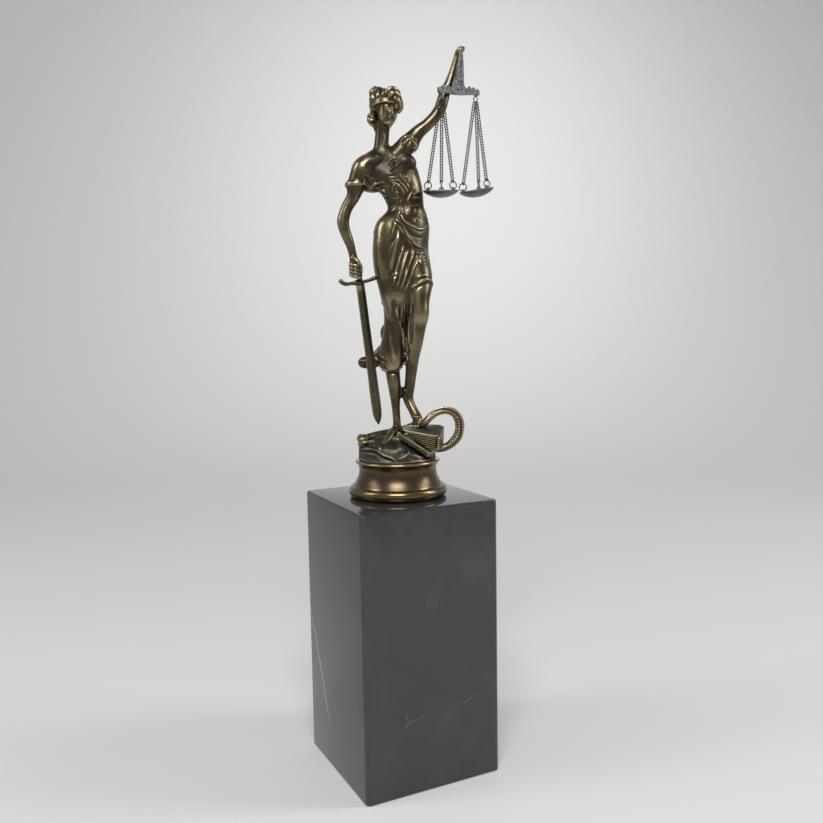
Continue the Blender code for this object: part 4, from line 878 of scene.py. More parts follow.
def makeGround():
    bm = bmesh.new()
    rings = []
    for h, share in groundForm["rim"]:
        ring = []
        for t in fullTurn(160):
            rough = noise.noise(Vector((1.6 * cos(t), 1.6 * sin(t), h * 0.06)))
            radius = groundForm["radius"] * share * (1 + 0.03 * rough * (h > 1))
            l, a = radius * cos(t), radius * sin(t)
            # it falls away to the front right, where the book's lower cover lies on it
            fall = min(1.0, max(0.0, (l - 2) / 18)) * min(1.0, max(0.0, (-a - 4) / 8))
            near = max(0.0, -sin(t)) * share
            ring.append(placed(l, a, max(0.0, h * (1 - 0.10 * near) * (1 - 0.84 * fall) + 0.7 * rough * (h > 4))))
        rings.append(ring)
    skinRings(bm, rings)
    for row in groundForm["rocks"]:
        lump(bm, *row)
    mesh = fused(bm, "rockGround", 0.0005, 8)
    carve(mesh, groundMarks)
    places, normals = vertexPlaces(mesh), vertexNormals(mesh)
    for i, (p, n) in enumerate(zip(places, normals)):
        if p[2] > groundLevel + 0.0006:
            point = Vector(p) * 1000
            places[i] += n * (noise.noise(point * 0.12) * 0.35 + noise.noise(point * 0.45) * 0.12 - 0.2) * 0.0007
    putPlaces(mesh, places)
    markWear(mesh)
    newPiece("rockGround", mesh, rockBronze, ["justice_figure"])


# the snake: head at the front left, over the book's back edge and down through an arch of tail
snakeForm = {
    "path": (
        (-21, -6, 14.5, 3.2), (-14, -1, 16.3, 2.7), (-6, 3.5, 17.2, 2.7), (3, 5, 18.6, 2.8), (11, 3, 21.5, 2.8),
        (18.6, 0.5, 24.0, 2.6), (24.0, 1.6, 28.8, 2.4), (29.5, 2.6, 31.8, 2.4), (35.5, 3.6, 32.2, 2.5), (40.6, 4.4, 29.8, 2.8),
        (43.5, 5, 24, 3.1), (43.4, 5.2, 17.2, 3.1), (39.8, 5, 10.6, 3.0), (34, 4.2, 6.6, 2.8), (27.5, 3, 5.2, 2.3), (21, 1, 5.0, 1.7),
    ),
    "scalesRound": 14,
    "archMiddle": (32.0, 3.6, 18.0),
    "plates": {"Scale Length": 0.0023, "Scale Width": 0.0015, "Scale Proud": 0.0009, "Unevenness": 0.25},
    "belly": ((40.9, 27.1), (42.2, 21.5), (41.6, 16.0), (38.2, 11.1), (33.7, 8.0)),
}


def snakeSeats(steps, sides, lift):
    # rings of seats on the snake's skin, every other ring half a seat on: place, facing and along
    rows = smoothRows(snakeForm["path"], steps)
    points = [placed(*row[:3]) for row in rows]
    side = up.copy()
    rings = []
    for i, (point, row) in enumerate(zip(points, rows)):
        along = (points[min(i + 1, len(points) - 1)] - points[max(i - 1, 0)]).normalized()
        side = (side - along * side.dot(along)).normalized()
        over = along.cross(side)
        ring = []
        for j in range(sides):
            t = 2 * pi * (j + 0.5 * (i % 2)) / sides
            out = side * cos(t) + over * sin(t)
            ring.append((point + out * (row[3] * 0.001 + lift), out, along))
        rings.append(ring)
    return rows, rings


snakeMarks = (
    (0.6, -0.7, ((21.8, 27.4), (26.5, 32.2), (34.1, 33.4), (41.2, 30.1), (44.3, 23.6), (43.5, 14.5), (37.9, 7.7), (31.6, 5.2))),
    (0.45, 0.6, ((23.0, 28.8), (27.2, 33.4), (34.1, 34.6), (42.3, 31.2), (45.5, 23.5), (44.6, 13.8), (38.5, 6.2))),
)


def bellyMarks():
    # short bars across the inner side of the arch, one to each belly plate
    line = smoothRows(snakeForm["belly"], 6)
    marks = []
    for k, ((l, h), (nextL, nextH)) in enumerate(zip(line, line[1:])):
        if k % 2 == 0:
            size = hypot(nextL - l, nextH - h)
            out = ((nextH - h) / size, -(nextL - l) / size)
            marks.append((0.42, 0.5, ((l - 1.1 * out[0], h - 1.1 * out[1]), (l, h), (l + 1.1 * out[0], h + 1.1 * out[1]))))
    return marks


def makeSnake():
    bm = bmesh.new()
    limb(bm, snakeForm["path"], 28, 10)
    # head: a broad flat skull, brows, and a lower jaw parted by a thin line
    for row in ((-23.2, -8.0, 15.0, 4.3, 5.0, 2.9, 25), (-22.6, -10.6, 13.0, 3.4, 4.4, 1.9, 25), (-25.0, -6.6, 16.8, 1.5, 1.9, 1.3, 20),
                (-21.4, -8.4, 17.0, 1.4, 1.8, 1.2, 20), (-23.4, -12.2, 15.2, 2.2, 2.4, 1.6, 25)):
        lump(bm, *row)
    mesh = fused(bm, "snakeBody", 0.00045, 3)
    carve(mesh, snakeMarks)
    carve(mesh, bellyMarks())
    markWear(mesh)
    newPiece("snakeBody", mesh, bladeBronze, ["justice_figure"])


def growingTree(name, sockets):
    # a geometry tree with its named inputs, their identifiers, and what adds its nodes
    tree = bpy.data.node_groups.new(name, "GeometryNodeTree")
    tree.interface.new_socket("Geometry", in_out="INPUT", socket_type="NodeSocketGeometry")
    keys = {}
    for kind, labels in sockets.items():
        for label in labels:
            keys[label] = tree.interface.new_socket(label, in_out="INPUT", socket_type="NodeSocket" + kind).identifier
    tree.interface.new_socket("Geometry", in_out="OUTPUT", socket_type="NodeSocketGeometry")
    add = adderFor(tree)
    return tree, keys, add, add("NodeGroupInput").outputs


def realised(add, instances):
    return add("GeometryNodeRealizeInstances", {"Geometry": instances}).outputs["Geometry"]


def finishTree(add, geometry, material):
    finish = add("GeometryNodeSetMaterial", {"Geometry": geometry, "Material": material})
    add("NodeGroupOutput", {"Geometry": finish.outputs["Geometry"]})


def grown(mesh, tree, keys, values, name):
    holder = inScene(name, mesh)
    grow = holder.modifiers.new("grow", "NODES")
    grow.node_group = tree
    for label, value in values.items():
        grow[keys[label]] = value
    return settle(holder, name)


def vectorLayer(mesh, label, vectors):
    layer = mesh.attributes.new(label, "FLOAT_VECTOR", "POINT")
    layer.data.foreach_set("vector", np.array([tuple(v) for v in vectors], np.float32).ravel())


def standing(add, vector, axis, rotation=(0, 0, 0), pivot="AUTO"):
    # a turn that brings an axis to a vector, about another axis if one is named
    turn = {"Vector": vector, "Rotation": rotation}
    return add("FunctionNodeAlignRotationToVector", turn, axis=axis, pivot_axis=pivot).outputs["Rotation"]


def readLayer(add, label, kind="FLOAT_VECTOR"):
    return add("GeometryNodeInputNamedAttribute", {"Name": label}, data_type=kind).outputs["Attribute"]


def scaleTree(name, material, seed):
    # sets one low scale on each seat, turned by the seat's own "facing" and "along"
    tree, keys, add, given = growingTree(name, {"Float": ("Scale Length", "Scale Width", "Scale Proud", "Unevenness")})
    ball = add("GeometryNodeMeshIcoSphere", {"Subdivisions": 1, "Radius": 0.5}).outputs["Mesh"]
    shape = add("ShaderNodeCombineXYZ", {"X": given["Scale Length"], "Y": given["Scale Width"], "Z": given["Scale Proud"]})
    scale = add("GeometryNodeTransform", {"Geometry": ball, "Scale": shape.outputs["Vector"]}).outputs["Geometry"]
    turn = standing(add, readLayer(add, "along"), "X", standing(add, readLayer(add, "facing"), "Z"), "Z")
    least = maths(add, "SUBTRACT", 1.0, given["Unevenness"])
    size = add("FunctionNodeRandomValue", {"Seed": seed, 2: least, 3: 1.0}, data_type="FLOAT").outputs[1]
    seats = {"Points": given["Geometry"], "Instance": scale, "Rotation": turn, "Scale": size}
    finishTree(add, realised(add, add("GeometryNodeInstanceOnPoints", seats).outputs["Instances"]), material)
    return tree, keys


def makeSnakeScales():
    f = snakeForm
    tree, keys = scaleTree("snakeScaling", bladeBronze, 4)
    rows, rings = snakeSeats(7, f["scalesRound"], 0.00002)
    # broad plates along the inner side of the arch only
    middle = placed(*f["archMiddle"])
    seats = []
    for row, ring in list(zip(rows, rings))[::2]:
        if row[0] >= 22 and row[2] >= 8:
            seats += [seat for seat in ring if seat[1].dot((middle - seat[0]).normalized()) > 0.55]
    mesh = bpy.data.meshes.new("snakeSeats")
    mesh.from_pydata([seat[0] for seat in seats], [], [])
    vectorLayer(mesh, "facing", [seat[1] for seat in seats])
    vectorLayer(mesh, "along", [seat[2] for seat in seats])
    mesh = grown(mesh, tree, keys, f["plates"], "snakeScales")
    evenWear(mesh, 0.8)
    newPiece("snakeScales", mesh, bladeBronze, ["justice_figure"])


# the book, lying with its fore edge to the front
bookForm = {
    "top": ((7.0, 6.5, 23.0), (31.8, 5.0, 22.2), (27.6, -15.8, 16.6), (3.6, -15.6, 21.6)),
    "foot": ((3.0, 5.0, 17.0), (30.0, 3.6, 7.0), (22.2, -17.0, 5.6), (0.6, -17.2, 20.6)),
    "spine": ((27.6, -15.4, 16.0), (31.6, 4.8, 21.6), (31.0, 4.0, 9.0), (26.8, -15.2, 6.4)),
    "lastLeaf": ((25.0, 4.0, 7.0), (29.6, 3.6, 7.0), (25.6, -15.6, 6.0), (20.4, -15.6, 7.2)),
    "cover": 1.5,
    "footCover": 4.0,
    "pages": 7,
    "pageInset": 0.6,
    "pageShare": 0.5,
}


def roundedOutline(corners, round_, steps=5):
    # the outline of a four-cornered sheet with its corners rounded
    out = []
    for i, corner in enumerate(corners):
        before, after = corners[i - 1], corners[(i + 1) % 4]
        start = corner + (before - corner).normalized() * round_
        end = corner + (after - corner).normalized() * round_
        for t in np.linspace(0, 1, steps):
            out.append(start * (1 - t) ** 2 + corner * 2 * t * (1 - t) + end * t**2)
    return out


def sheet(bm, corners, thick, round_, inset=0.25):
    # a stiff sheet between its own plane and one a thickness under it, with eased edges
    corners = [Vector(c) for c in corners]
    middle = sum(corners, Vector()) / 4
    normal = (corners[1] - corners[0]).cross(corners[2] - corners[0]).normalized()
    if normal.z < 0:
        normal = -normal
    outline = roundedOutline(corners, round_)
    rings = []
    for depth, pull in ((0.0, inset), (0.18, 0.0), (0.82, 0.0), (1.0, inset)):
        rings.append([placed(*(p + (middle - p).normalized() * pull - normal * thick * depth)) for p in outline])
    skinRings(bm, rings)


def makeBook():
    top = [Vector(c) for c in bookForm["top"]]
    bm = bmesh.new()
    sheet(bm, top, bookForm["cover"], 3.4)
    sheet(bm, bookForm["foot"], bookForm["footCover"], 1.2, 0.5)
    sheet(bm, bookForm["spine"], 1.3, 1.6)
    mesh = fused(bm, "bookCovers", 0.0004, 2)
    markWear(mesh)
    newPiece("bookCovers", mesh, bladeBronze, ["justice_figure"])
    # page block: solid core, then the leaves' edges from one tree
    bm = bmesh.new()
    inner = []
    for share in np.linspace(0.0, 0.97, 8):
        corners = [Vector(low).lerp(high, share) for low, high in zip(bookForm["lastLeaf"], top)]
        middle = sum(corners, Vector()) / 4
        corners = [Vector((c.x, c.y * 0.8 + 0.6, c.z)) + (middle - c).normalized() * bookForm["pageInset"] for c in corners]
        inner.append([placed(*p) for p in roundedOutline(corners, 0.8)])
    skinRings(bm, inner)
    mesh = meshFrom(bm, "pageBlock")
    evenWear(mesh, 0.0)
    newPiece("pageBlock", mesh, agedBronze, ["justice_figure"])
    makePages(top)


def makePages(top):
    count = bookForm["pages"]
    lift = Vector((0, 0, bookForm["cover"] * 0.9))

    def inset(corners):
        middle = sum(corners, Vector()) / 4
        return roundedOutline([c + (middle - c).normalized() * bookForm["pageInset"] for c in corners], 0.9, 4)

    lowLine, highLine = inset([Vector(c) for c in bookForm["lastLeaf"]]), inset([c - lift for c in top])
    middle = sum(lowLine, Vector()) / len(lowLine)
    half = 0.5 * bookForm["pageShare"] / count
    rings = []
    for share, pull in ((-half, 0.35), (-half * 0.5, 0.0), (half * 0.5, 0.0), (half, 0.35)):
        rings.append([(p + (middle - p).normalized() * pull, share) for p in lowLine])
    bm = bmesh.new()
    skinRings(bm, [[placed(*(p + (q - l) * share)) for (p, share), q, l in zip(ring, highLine, lowLine)] for ring in rings])
    mesh = meshFrom(bm, "leaf")
    # each leaf is the lowest one carried up the block by its own "rise"
    rise = [q - l for _ in rings for q, l in zip(highLine, lowLine)]
    rise += [sum(rise[: len(lowLine)], Vector()) / len(lowLine)] * 2
    vectorLayer(mesh, "rise", [placed(*r) - placed(0, 0, 0) for r in rise])
    tree, keys, add, given = growingTree("pageLeaves", {"Int": ("Leaves",)})
    leaf = add("GeometryNodeGeometryToInstance", {"Geometry": given["Geometry"]}).outputs["Instances"]
    copies = add("GeometryNodeDuplicateElements", {"Geometry": leaf, "Amount": given["Leaves"]}, domain="INSTANCE").outputs
    named = {"Name": "leaf", "Geometry": copies["Geometry"], "Value": copies["Duplicate Index"]}
    kept = add("GeometryNodeStoreNamedAttribute", named, data_type="INT", domain="INSTANCE").outputs["Geometry"]
    share = maths(add, "DIVIDE", maths(add, "ADD", readLayer(add, "leaf", "INT"), 0.5), given["Leaves"])
    carried = add("ShaderNodeVectorMath", {0: readLayer(add, "rise"), "Scale": share}, operation="SCALE").outputs["Vector"]
    moved = add("GeometryNodeSetPosition", {"Geometry": realised(add, kept), "Offset": carried}).outputs["Geometry"]
    finishTree(add, moved, agedBronze)
    mesh = grown(mesh, tree, keys, {"Leaves": count}, "bookLeaves")
    evenWear(mesh, 0.95)
    newPiece("bookLeaves", mesh, agedBronze, ["justice_figure"])


makeGround()
makeSnake()
makeSnakeScales()
makeBook()
print("ground, snake and book made")


# turned socle and marble block
socleForm = {
    "foot": 0.1903, "torusRadius": 0.0340, "torusHeight": 0.0078, "groove": 0.0308, "neck": 0.0267,
    "bell": 0.0107, "flare": 0.0045, "rim": 0.0293, "rimThick": 0.0022, "steps": 160,
}


def makeSocle():
    f = socleForm
    groove = f["foot"] + f["torusHeight"]
    neck = groove + f["bell"]
    rim = neck + f["flare"]
    top = rim + f["rimThick"]
    profile = [(0.0, top), (0.012, top), (0.022, top), (f["rim"] - f["rimThick"] / 2, top)]
    for t in np.linspace(pi / 2, -pi / 2, 9)[1:-1]:
        profile.append((f["rim"] + f["rimThick"] / 2 * (cos(t) - 1), rim + f["rimThick"] / 2 * (1 + sin(t))))
    for t in np.linspace(0, 1, 9):
        profile.append((f["neck"] + (f["rim"] - f["rimThick"] / 2 - f["neck"]) * (1 - t) ** 2, rim - t * f["flare"]))
    for t in np.linspace(0, 1, 13)[1:]:
        profile.append((f["neck"] + (f["groove"] - f["neck"]) * t**2, neck - t * f["bell"]))
    profile.append((f["groove"] - 0.0003, groove - 0.0002))
    for t in np.linspace(pi / 2, -pi / 2, 19):
        swell = f["torusRadius"] - f["groove"]
        profile.append((f["groove"] + swell * cos(t), f["foot"] + f["torusHeight"] / 2 * (1 + sin(t)) * 0.98))
    profile += [(0.024, f["foot"]), (0.012, f["foot"]), (0.0, f["foot"])]
    mesh, bm = turned("turnedSocle", profile, f["steps"])
    for v in bm.verts:
        # dressed by hand after turning, so never quite round
        if v.co.x**2 + v.co.y**2 > 0.0004 and v.co.z > f["foot"] + 0.0004:
            bearing = atan2(v.co.y, v.co.x)
            off = noise.noise(Vector((2.2 * cos(bearing), 2.2 * sin(bearing), v.co.z * 160)))
            v.co.xy *= 1 + 0.0022 * off
    bm.to_mesh(mesh)
    bm.free()
    markWear(mesh, 2, 12, (900.0, 500.0))
    newPiece("turnedSocle", mesh, socleBronze, ["bronze_socle"], 75)


blockForm = {"side": 0.100, "height": 0.190, "corner": 0.0032, "edge": 0.0014}


def makeBlock():
    f = blockForm
    bm = bmesh.new()
    bmesh.ops.create_cube(bm, size=1, matrix=Matrix.Translation((0, 0, f["height"] / 2)) @ Matrix.Diagonal((f["side"], f["side"], f["height"], 1)))
    upright = [e for e in bm.edges if abs(e.verts[0].co.z - e.verts[1].co.z) > f["height"] / 2]
    bmesh.ops.bevel(bm, geom=upright, offset=f["corner"], segments=8, profile=0.5, affect="EDGES")
    level = [e for e in bm.edges if abs(e.verts[0].co.z - e.verts[1].co.z) < f["edge"]]
    bmesh.ops.bevel(bm, geom=level, offset=f["edge"], segments=4, profile=0.5, affect="EDGES")
    newPiece("marbleBlock", meshFrom(bm, "marbleBlock"), blackMarble, ["marble_plinth"], 50)


makeSocle()
makeBlock()
print("socle and marble block made")


# sword: blade with a ridge and shallow flats, an S-curved guard and the grip in the fist
swordForm = {
    "guardAt": (-22.7, -10.3, 120.2), "tip": (-12.2, -8.0, 24.2), "across": (1, 0.42),
    "blade": ((0, 0.86), (0.2, 0.88), (0.45, 0.90), (0.65, 0.95), (0.80, 1.0), (0.87, 0.99), (0.91, 0.95), (0.94, 0.82), (0.965, 0.60), (0.985, 0.30), (1.0, 0.03)),
    "width": 0.0070, "thick": 0.0027, "guard": 0.0238, "guardThick": 0.0026, "guardShift": 0.0014, "grip": 0.0075, "gripRadius": 0.0016,
}


def makeSword():
    f = swordForm
    guard, tip = placed(*f["guardAt"]), placed(*f["tip"])
    along = (tip - guard).normalized()
    through = along.cross(direction(*f["across"])).normalized()
    across = through.cross(along)
    bm = bmesh.new()
    rings = []
    for share, width in smoothRows(f["blade"], 6):
        middle = guard.lerp(tip, min(share, 1.0))
        half = f["width"] / 2 * max(width, 0.02)
        ridge = f["thick"] / 2 * max(width, 0.05)
        dent = 0.00012 * noise.noise(middle * 130)
        section = ((1, 0), (0.93, 0.16), (0.5, 0.52), (0.16, 0.84), (0, 1), (-0.16, 0.84), (-0.5, 0.52), (-0.93, 0.16),
                   (-1, 0), (-0.93, -0.16), (-0.5, -0.52), (-0.16, -0.84), (0, -1), (0.16, -0.84), (0.5, -0.52), (0.93, -0.16))
        rings.append([middle + across * (half * x + dent) + through * ridge * y for x, y in section])
    skinRings(bm, rings)
    mesh = meshFrom(bm, "swordBlade")
    markWear(mesh, 1, 4, (1200.0, 900.0))
    newPiece("swordBlade", mesh, bladeBronze, ["sword"], 25)
    bm = bmesh.new()
    points, radii = [], []
    for share in np.linspace(-1, 1, 41):
        lift = 0.0018 * share**2 * (1 if share > 0 else -0.12)
        if share < -0.72:
            lift += 0.0024 * ((-share - 0.72) / 0.28) ** 1.5
        points.append(guard + across * (share * f["guard"] / 2 - f["guardShift"]) - along * lift)
        radii.append(f["guardThick"] / 2 * (0.86 + 0.35 * abs(share) ** 3 + 0.62 * max(0, 1 - (3 * share) ** 2)) * 0.98)
    roundTube(bm, points, radii, 20)
    # langet over the blade's root and a ribbed grip
    roundTube(bm, [guard - along * 0.0012, guard + along * 0.0012, guard + along * 0.0030], [0.0021, 0.0023, 0.0013], 20, 0.6, across)
    gripRows = [guard - along * f["grip"] * t for t in np.linspace(0, 1, 22)]
    roundTube(bm, gripRows, [f["gripRadius"] * (1 + 0.06 * (k % 2)) * 0.97 for k in range(22)], 16)
    mesh = fused(bm, "swordGuard", 0.00022)
    roughen(mesh, ((0.00016, 900),))
    markWear(mesh)
    newPiece("swordGuard", mesh, agedBronze, ["sword"])


# scales: a pierced beam on a tapered openwork stem, rings, link chains and two dished pans
scaleForm = {
    "held": (47.2, 2.9, 271.0), "lean": (-1.7, 0.8), "across": (28.3, 20.0), "tilt": 0.085, "span": 0.0347,
    "depth": 0.0044, "thick": 0.0020, "hang": 0.42, "stem": 0.0240, "stemFoot": 0.0058, "pinRadius": 0.0009, "pin": 0.0032,
    "wire": 0.00045, "beamRing": 0.0019, "panRing": 0.0026, "gap": 0.0003,
    "pan": 0.0120, "panDepth": 0.0046, "panWall": 0.0009, "panLean": 9.0, "lugInset": 0.0022, "lugRise": 0.0010, "lug": 0.0012, "lugWire": 0.00042,
    "drop": 0.0581, "linkPitch": 0.00172, "linkLong": 0.00250, "linkWide": 0.00266, "linkWire": 0.00035, "linkTwist": 48, "spread": 0.0011,
    "pans": (("Left", "left", -1, -1.3, 0.0, 150, (-28, -22, -34)), ("Right", "right", 1, 0.0, 8.0, 156, (-28, -40, -20))),
}


def ringMesh(centre, axis, radius, wire, around=40, sides=10):
    bm = bmesh.new()
    turn = Matrix.Translation(centre) @ axis.to_track_quat("Z", "Y").to_matrix().to_4x4()
    loops = []
    for t in fullTurn(around):
        ring = [((radius + wire * cos(s)) * cos(t), (radius + wire * cos(s)) * sin(t), wire * sin(s)) for s in fullTurn(sides)]
        loops.append([bm.verts.new(turn @ Vector(point)) for point in ring])
    for i in range(around):
        for j in range(sides):
            here, after, k = loops[i], loops[(i + 1) % around], (j + 1) % sides
            bm.faces.new((here[j], after[j], after[k], here[k]))
    return bm


def makeRing(name, centre, axis, radius, node):
    mesh = meshFrom(ringMesh(centre, axis, radius, scaleForm["wire"] * 0.95), name)
    evenWear(mesh, 0.64)
    newPiece(name, mesh, panMetal, [node])


def chainTree():
    # curb chain: oval links at an even pitch along the curve, twisted in turn one way and the other
    tree, keys, add, given = growingTree("linkChain", {
        "Float": ("Link Pitch", "Link Length", "Link Width", "Wire Radius", "First Turn", "Twist Between"), "Vector": ("Facing",),
    })
    run = add("GeometryNodeMeshToCurve", {"Mesh": given["Geometry"]}).outputs["Curve"]
    spaced = add("GeometryNodeResampleCurve", {"Curve": run, "Length": given["Link Pitch"]}, mode="LENGTH").outputs["Curve"]
    thick = maths(add, "MULTIPLY", given["Wire Radius"], 2.0)
    long, wide = (maths(add, "SUBTRACT", given[label], thick) for label in ("Link Length", "Link Width"))
    shape = add("ShaderNodeCombineXYZ", {"X": long, "Y": wide, "Z": 1.0}).outputs["Vector"]
    loop, wire = (
        add("GeometryNodeCurvePrimitiveCircle", {"Resolution": count, "Radius": radius}).outputs["Curve"]
        for count, radius in ((16, 0.5), (6, given["Wire Radius"]))
    )
    oval = add("GeometryNodeTransform", {"Geometry": loop, "Scale": shape}).outputs["Geometry"]
    link = add("GeometryNodeCurveToMesh", {"Curve": oval, "Profile Curve": wire}).outputs["Mesh"]
    tangent = add("GeometryNodeInputTangent").outputs["Tangent"]
    square = standing(add, given["Facing"], "Z", standing(add, tangent, "X"), "X")
    odd = maths(add, "MODULO", add("GeometryNodeInputIndex").outputs["Index"], 2.0)
    twist = maths(add, "ADD", maths(add, "MULTIPLY", odd, given["Twist Between"]), given["First Turn"])
    roll = add("FunctionNodeAxisAngleToRotation", {"Axis": (1, 0, 0), "Angle": twist}).outputs["Rotation"]
    both = add("FunctionNodeRotateRotation", {"Rotation": square, "Rotate By": roll}, rotation_space="LOCAL")
    links = {"Points": spaced, "Instance": link, "Rotation": both.outputs["Rotation"]}
    finishTree(add, realised(add, add("GeometryNodeInstanceOnPoints", links).outputs["Instances"]), chainMetal)
    return tree, keys


def makeChain(name, tree, keys, top, foot, firstTurn, node):
    f = scaleForm
    steps = 24
    line = bpy.data.meshes.new(name)
    line.from_pydata([top.lerp(foot, t) for t in np.linspace(0, 1, steps + 1)], [(i, i + 1) for i in range(steps)], [])
    mesh = grown(line, tree, keys, {
        "Link Pitch": f["linkPitch"], "Link Length": f["linkLong"], "Link Width": f["linkWide"], "Wire Radius": f["linkWire"],
        "Facing": tuple(direction(0, -1, 0)), "First Turn": radians(firstTurn), "Twist Between": radians(f["linkTwist"]),
    }, name)
    evenWear(mesh, 0.38)
    newPiece(name, mesh, chainMetal, [node])


def flatPlate(bm, outline, holes, centre, across, upward, through, thick):
    # a pierced plate: outline and holes are in millimetres across and up
    flat = bpy.data.curves.new("plate", "CURVE")
    flat.dimensions = "2D"
    flat.fill_mode = "BOTH"
    flat.extrude = thick / 2 - 0.00012
    flat.bevel_depth = 0.00012
    flat.bevel_resolution = 1
    for loop in [outline] + holes:
        spline = flat.splines.new("POLY")
        spline.points.add(len(loop) - 1)
        for point, (x, y) in zip(spline.points, loop):
            point.co = (x * 0.001, y * 0.001, 0, 1)
        spline.use_cyclic_u = True
    mesh = settle(inScene("plate", flat), "plate")
    mesh.transform(Matrix(((*across, 0), (*upward, 0), (*through, 0), (0, 0, 0, 1))).transposed().to_4x4())
    mesh.transform(Matrix.Translation(centre))
    bm.from_mesh(mesh)


def roundLoop(x, y, rx, ry=None, count=14):
    ry = rx if ry is None else ry
    return [(x + rx * cos(t), y + ry * sin(t)) for t in fullTurn(count)]


def makeBeam():
    f = scaleForm
    held = placed(*f["held"])
    lean = placed(f["held"][0] + f["lean"][0], f["held"][1] + f["lean"][1], f["held"][2]) - held
    middle = held + lean - up * f["stem"]
    across = (direction(*f["across"]) + up * f["tilt"]).normalized()
    through = across.cross(up).normalized()
    upward = through.cross(across).normalized()
    s, d = f["span"] * 1000, f["depth"] * 1000
    # upper edge from the left end to the right, with leaf points, then the lower edge back
    half = (
        (0.0, 0.62), (0.075, 0.60), (0.11, 0.50), (0.135, 0.62), (0.165, 0.44), (0.20, 0.36), (0.235, 0.40), (0.262, 0.74), (0.285, 0.62),
        (0.292, 0.36), (0.315, 0.34), (0.345, 0.40), (0.375, 0.66), (0.395, 0.54), (0.405, 0.30), (0.43, 0.28), (0.455, 0.40), (0.482, 0.36), (0.5, 0.12),
    )
    lower = ((0.5, -0.30), (0.485, -0.50), (0.45, -0.60), (0.42, -0.52), (0.38, -0.42), (0.30, -0.44), (0.2, -0.52), (0.1, -0.58), (0.0, -0.60))
    right = [(x * s, y * d) for x, y in half]
    rightLow = [(x * s, y * d) for x, y in lower]
    outline = [(-x, y) for x, y in right[::-1]] + right[1:] + rightLow + [(-x, y) for x, y in rightLow[::-1][1:]]
    holes = [roundLoop(side * x, *hole) for x, *hole in ((1.9, 0.3, 0.85, 0.75), (6.4, 0.0, 0.45), (11.4, 0.1, 0.4)) for side in (-1, 1)]
    bm = bmesh.new()
    flatPlate(bm, outline, holes, middle, across, upward, through, f["thick"])
    for side in (-1, 1):
        end = middle + across * side * f["hang"] * f["span"]
        bm.from_mesh(meshFrom(ringMesh(end, through, 0.0012, 0.0006, 28, 10), "endBoss"))
    # stem: two rails drawn together, cross ties between them
    stem = held - middle
    tall = stem.length * 1000
    stemUp = stem.normalized()
    foot = f["stemFoot"] * 500
    leftRail = [(-1.9, 1.4), (-1.55, 2.6), (-1.3, 4.4), (-1.16, 7.0), (-0.98, tall * 0.5), (-0.78, tall * 0.72), (-0.56, tall * 0.9), (-0.4, tall)]
    rightRail = [(-x, y) for x, y in leftRail[:1:-1]] + [(1.7, 2.6), (2.1, 1.4)]
    outlineStem = [(foot * x, y) for x, y in leftRail + rightRail]
    holesStem = [roundLoop(-0.9, 5.4, 0.6, 0.9), roundLoop(0.9, 5.4, 0.6, 0.9)]
    holesStem += [roundLoop(0, *hole) for hole in ((8.6, 1.0, 1.3), (12.2, 0.8, 1.2), (15.6, 0.62, 1.1), (18.8, 0.42, 1.0))]
    stemThrough = across.cross(stemUp).normalized()
    flatPlate(bm, outlineStem, holesStem, middle, (stemUp.cross(stemThrough)).normalized(), stemUp, stemThrough, f["thick"] * 0.9)
    roundTube(bm, [held - stemUp * 0.001, held + stemUp * f["pin"]], [f["pinRadius"]] * 2, 14)
    bmesh.ops.remove_doubles(bm, verts=bm.verts, dist=0.000001)
    made = bpy.data.meshes.new("scaleBeam")
    bm.to_mesh(made)
    bm.free()
    mesh = melted(made, "scaleBeam", 0.00016, 2)
    roughen(mesh, ((0.00016, 900), (0.00008, 2000)))
    markWear(mesh, 3, 16, (2600.0, 900.0))
    newPiece("scaleBeam", mesh, scaleMetal, ["scale_beam"])
    return middle, across


def makePan(name, place, firstLug, node):
    f = scaleForm
    outside = [(f["pan"] * share, -f["panDepth"] * (1 - share**2) ** 0.8) for share in (1.0, 0.985, 0.95, 0.88, 0.78, 0.66, 0.52, 0.36, 0.18)]
    inside = [(r - f["panWall"] * 0.6 * (r / f["pan"]), z + f["panWall"]) for r, z in outside[:0:-1]]
    profile = [(0.0, f["panWall"] - f["panDepth"]), *inside, (f["pan"] - f["panWall"] * 0.7, f["panWall"] * 0.45), (f["pan"] - f["panWall"] * 0.25, f["panWall"] * 0.5),
               (f["pan"], f["panWall"] * 0.25), *outside, (0.0, -f["panDepth"])]
    mesh, bm = turned(name, profile, 72)
    for v in bm.verts:
        v.co.z += 0.00012 * noise.noise(Vector((v.co.x * 260, v.co.y * 260, 3.0)))
    bmesh.ops.transform(bm, matrix=place, verts=bm.verts)
    eyes = []
    for k in range(3):
        bearing = radians(firstLug + 120 * k) + layoutTurn
        outward = Vector((cos(bearing), sin(bearing), 0))
        eye = place @ (outward * (f["pan"] - f["lugInset"]) + up * f["lugRise"])
        lug = ringMesh(eye, (place.to_3x3() @ outward).normalized(), f["lug"], f["lugWire"], 24, 8)
        bm.from_mesh(meshFrom(lug, "lug"))
        eyes.append(eye)
    bm.to_mesh(mesh)
    bm.free()
    markWear(mesh, 1, 6, (800.0, 500.0))
    newPiece(name, mesh, panMetal, [node], 40)
    return eyes


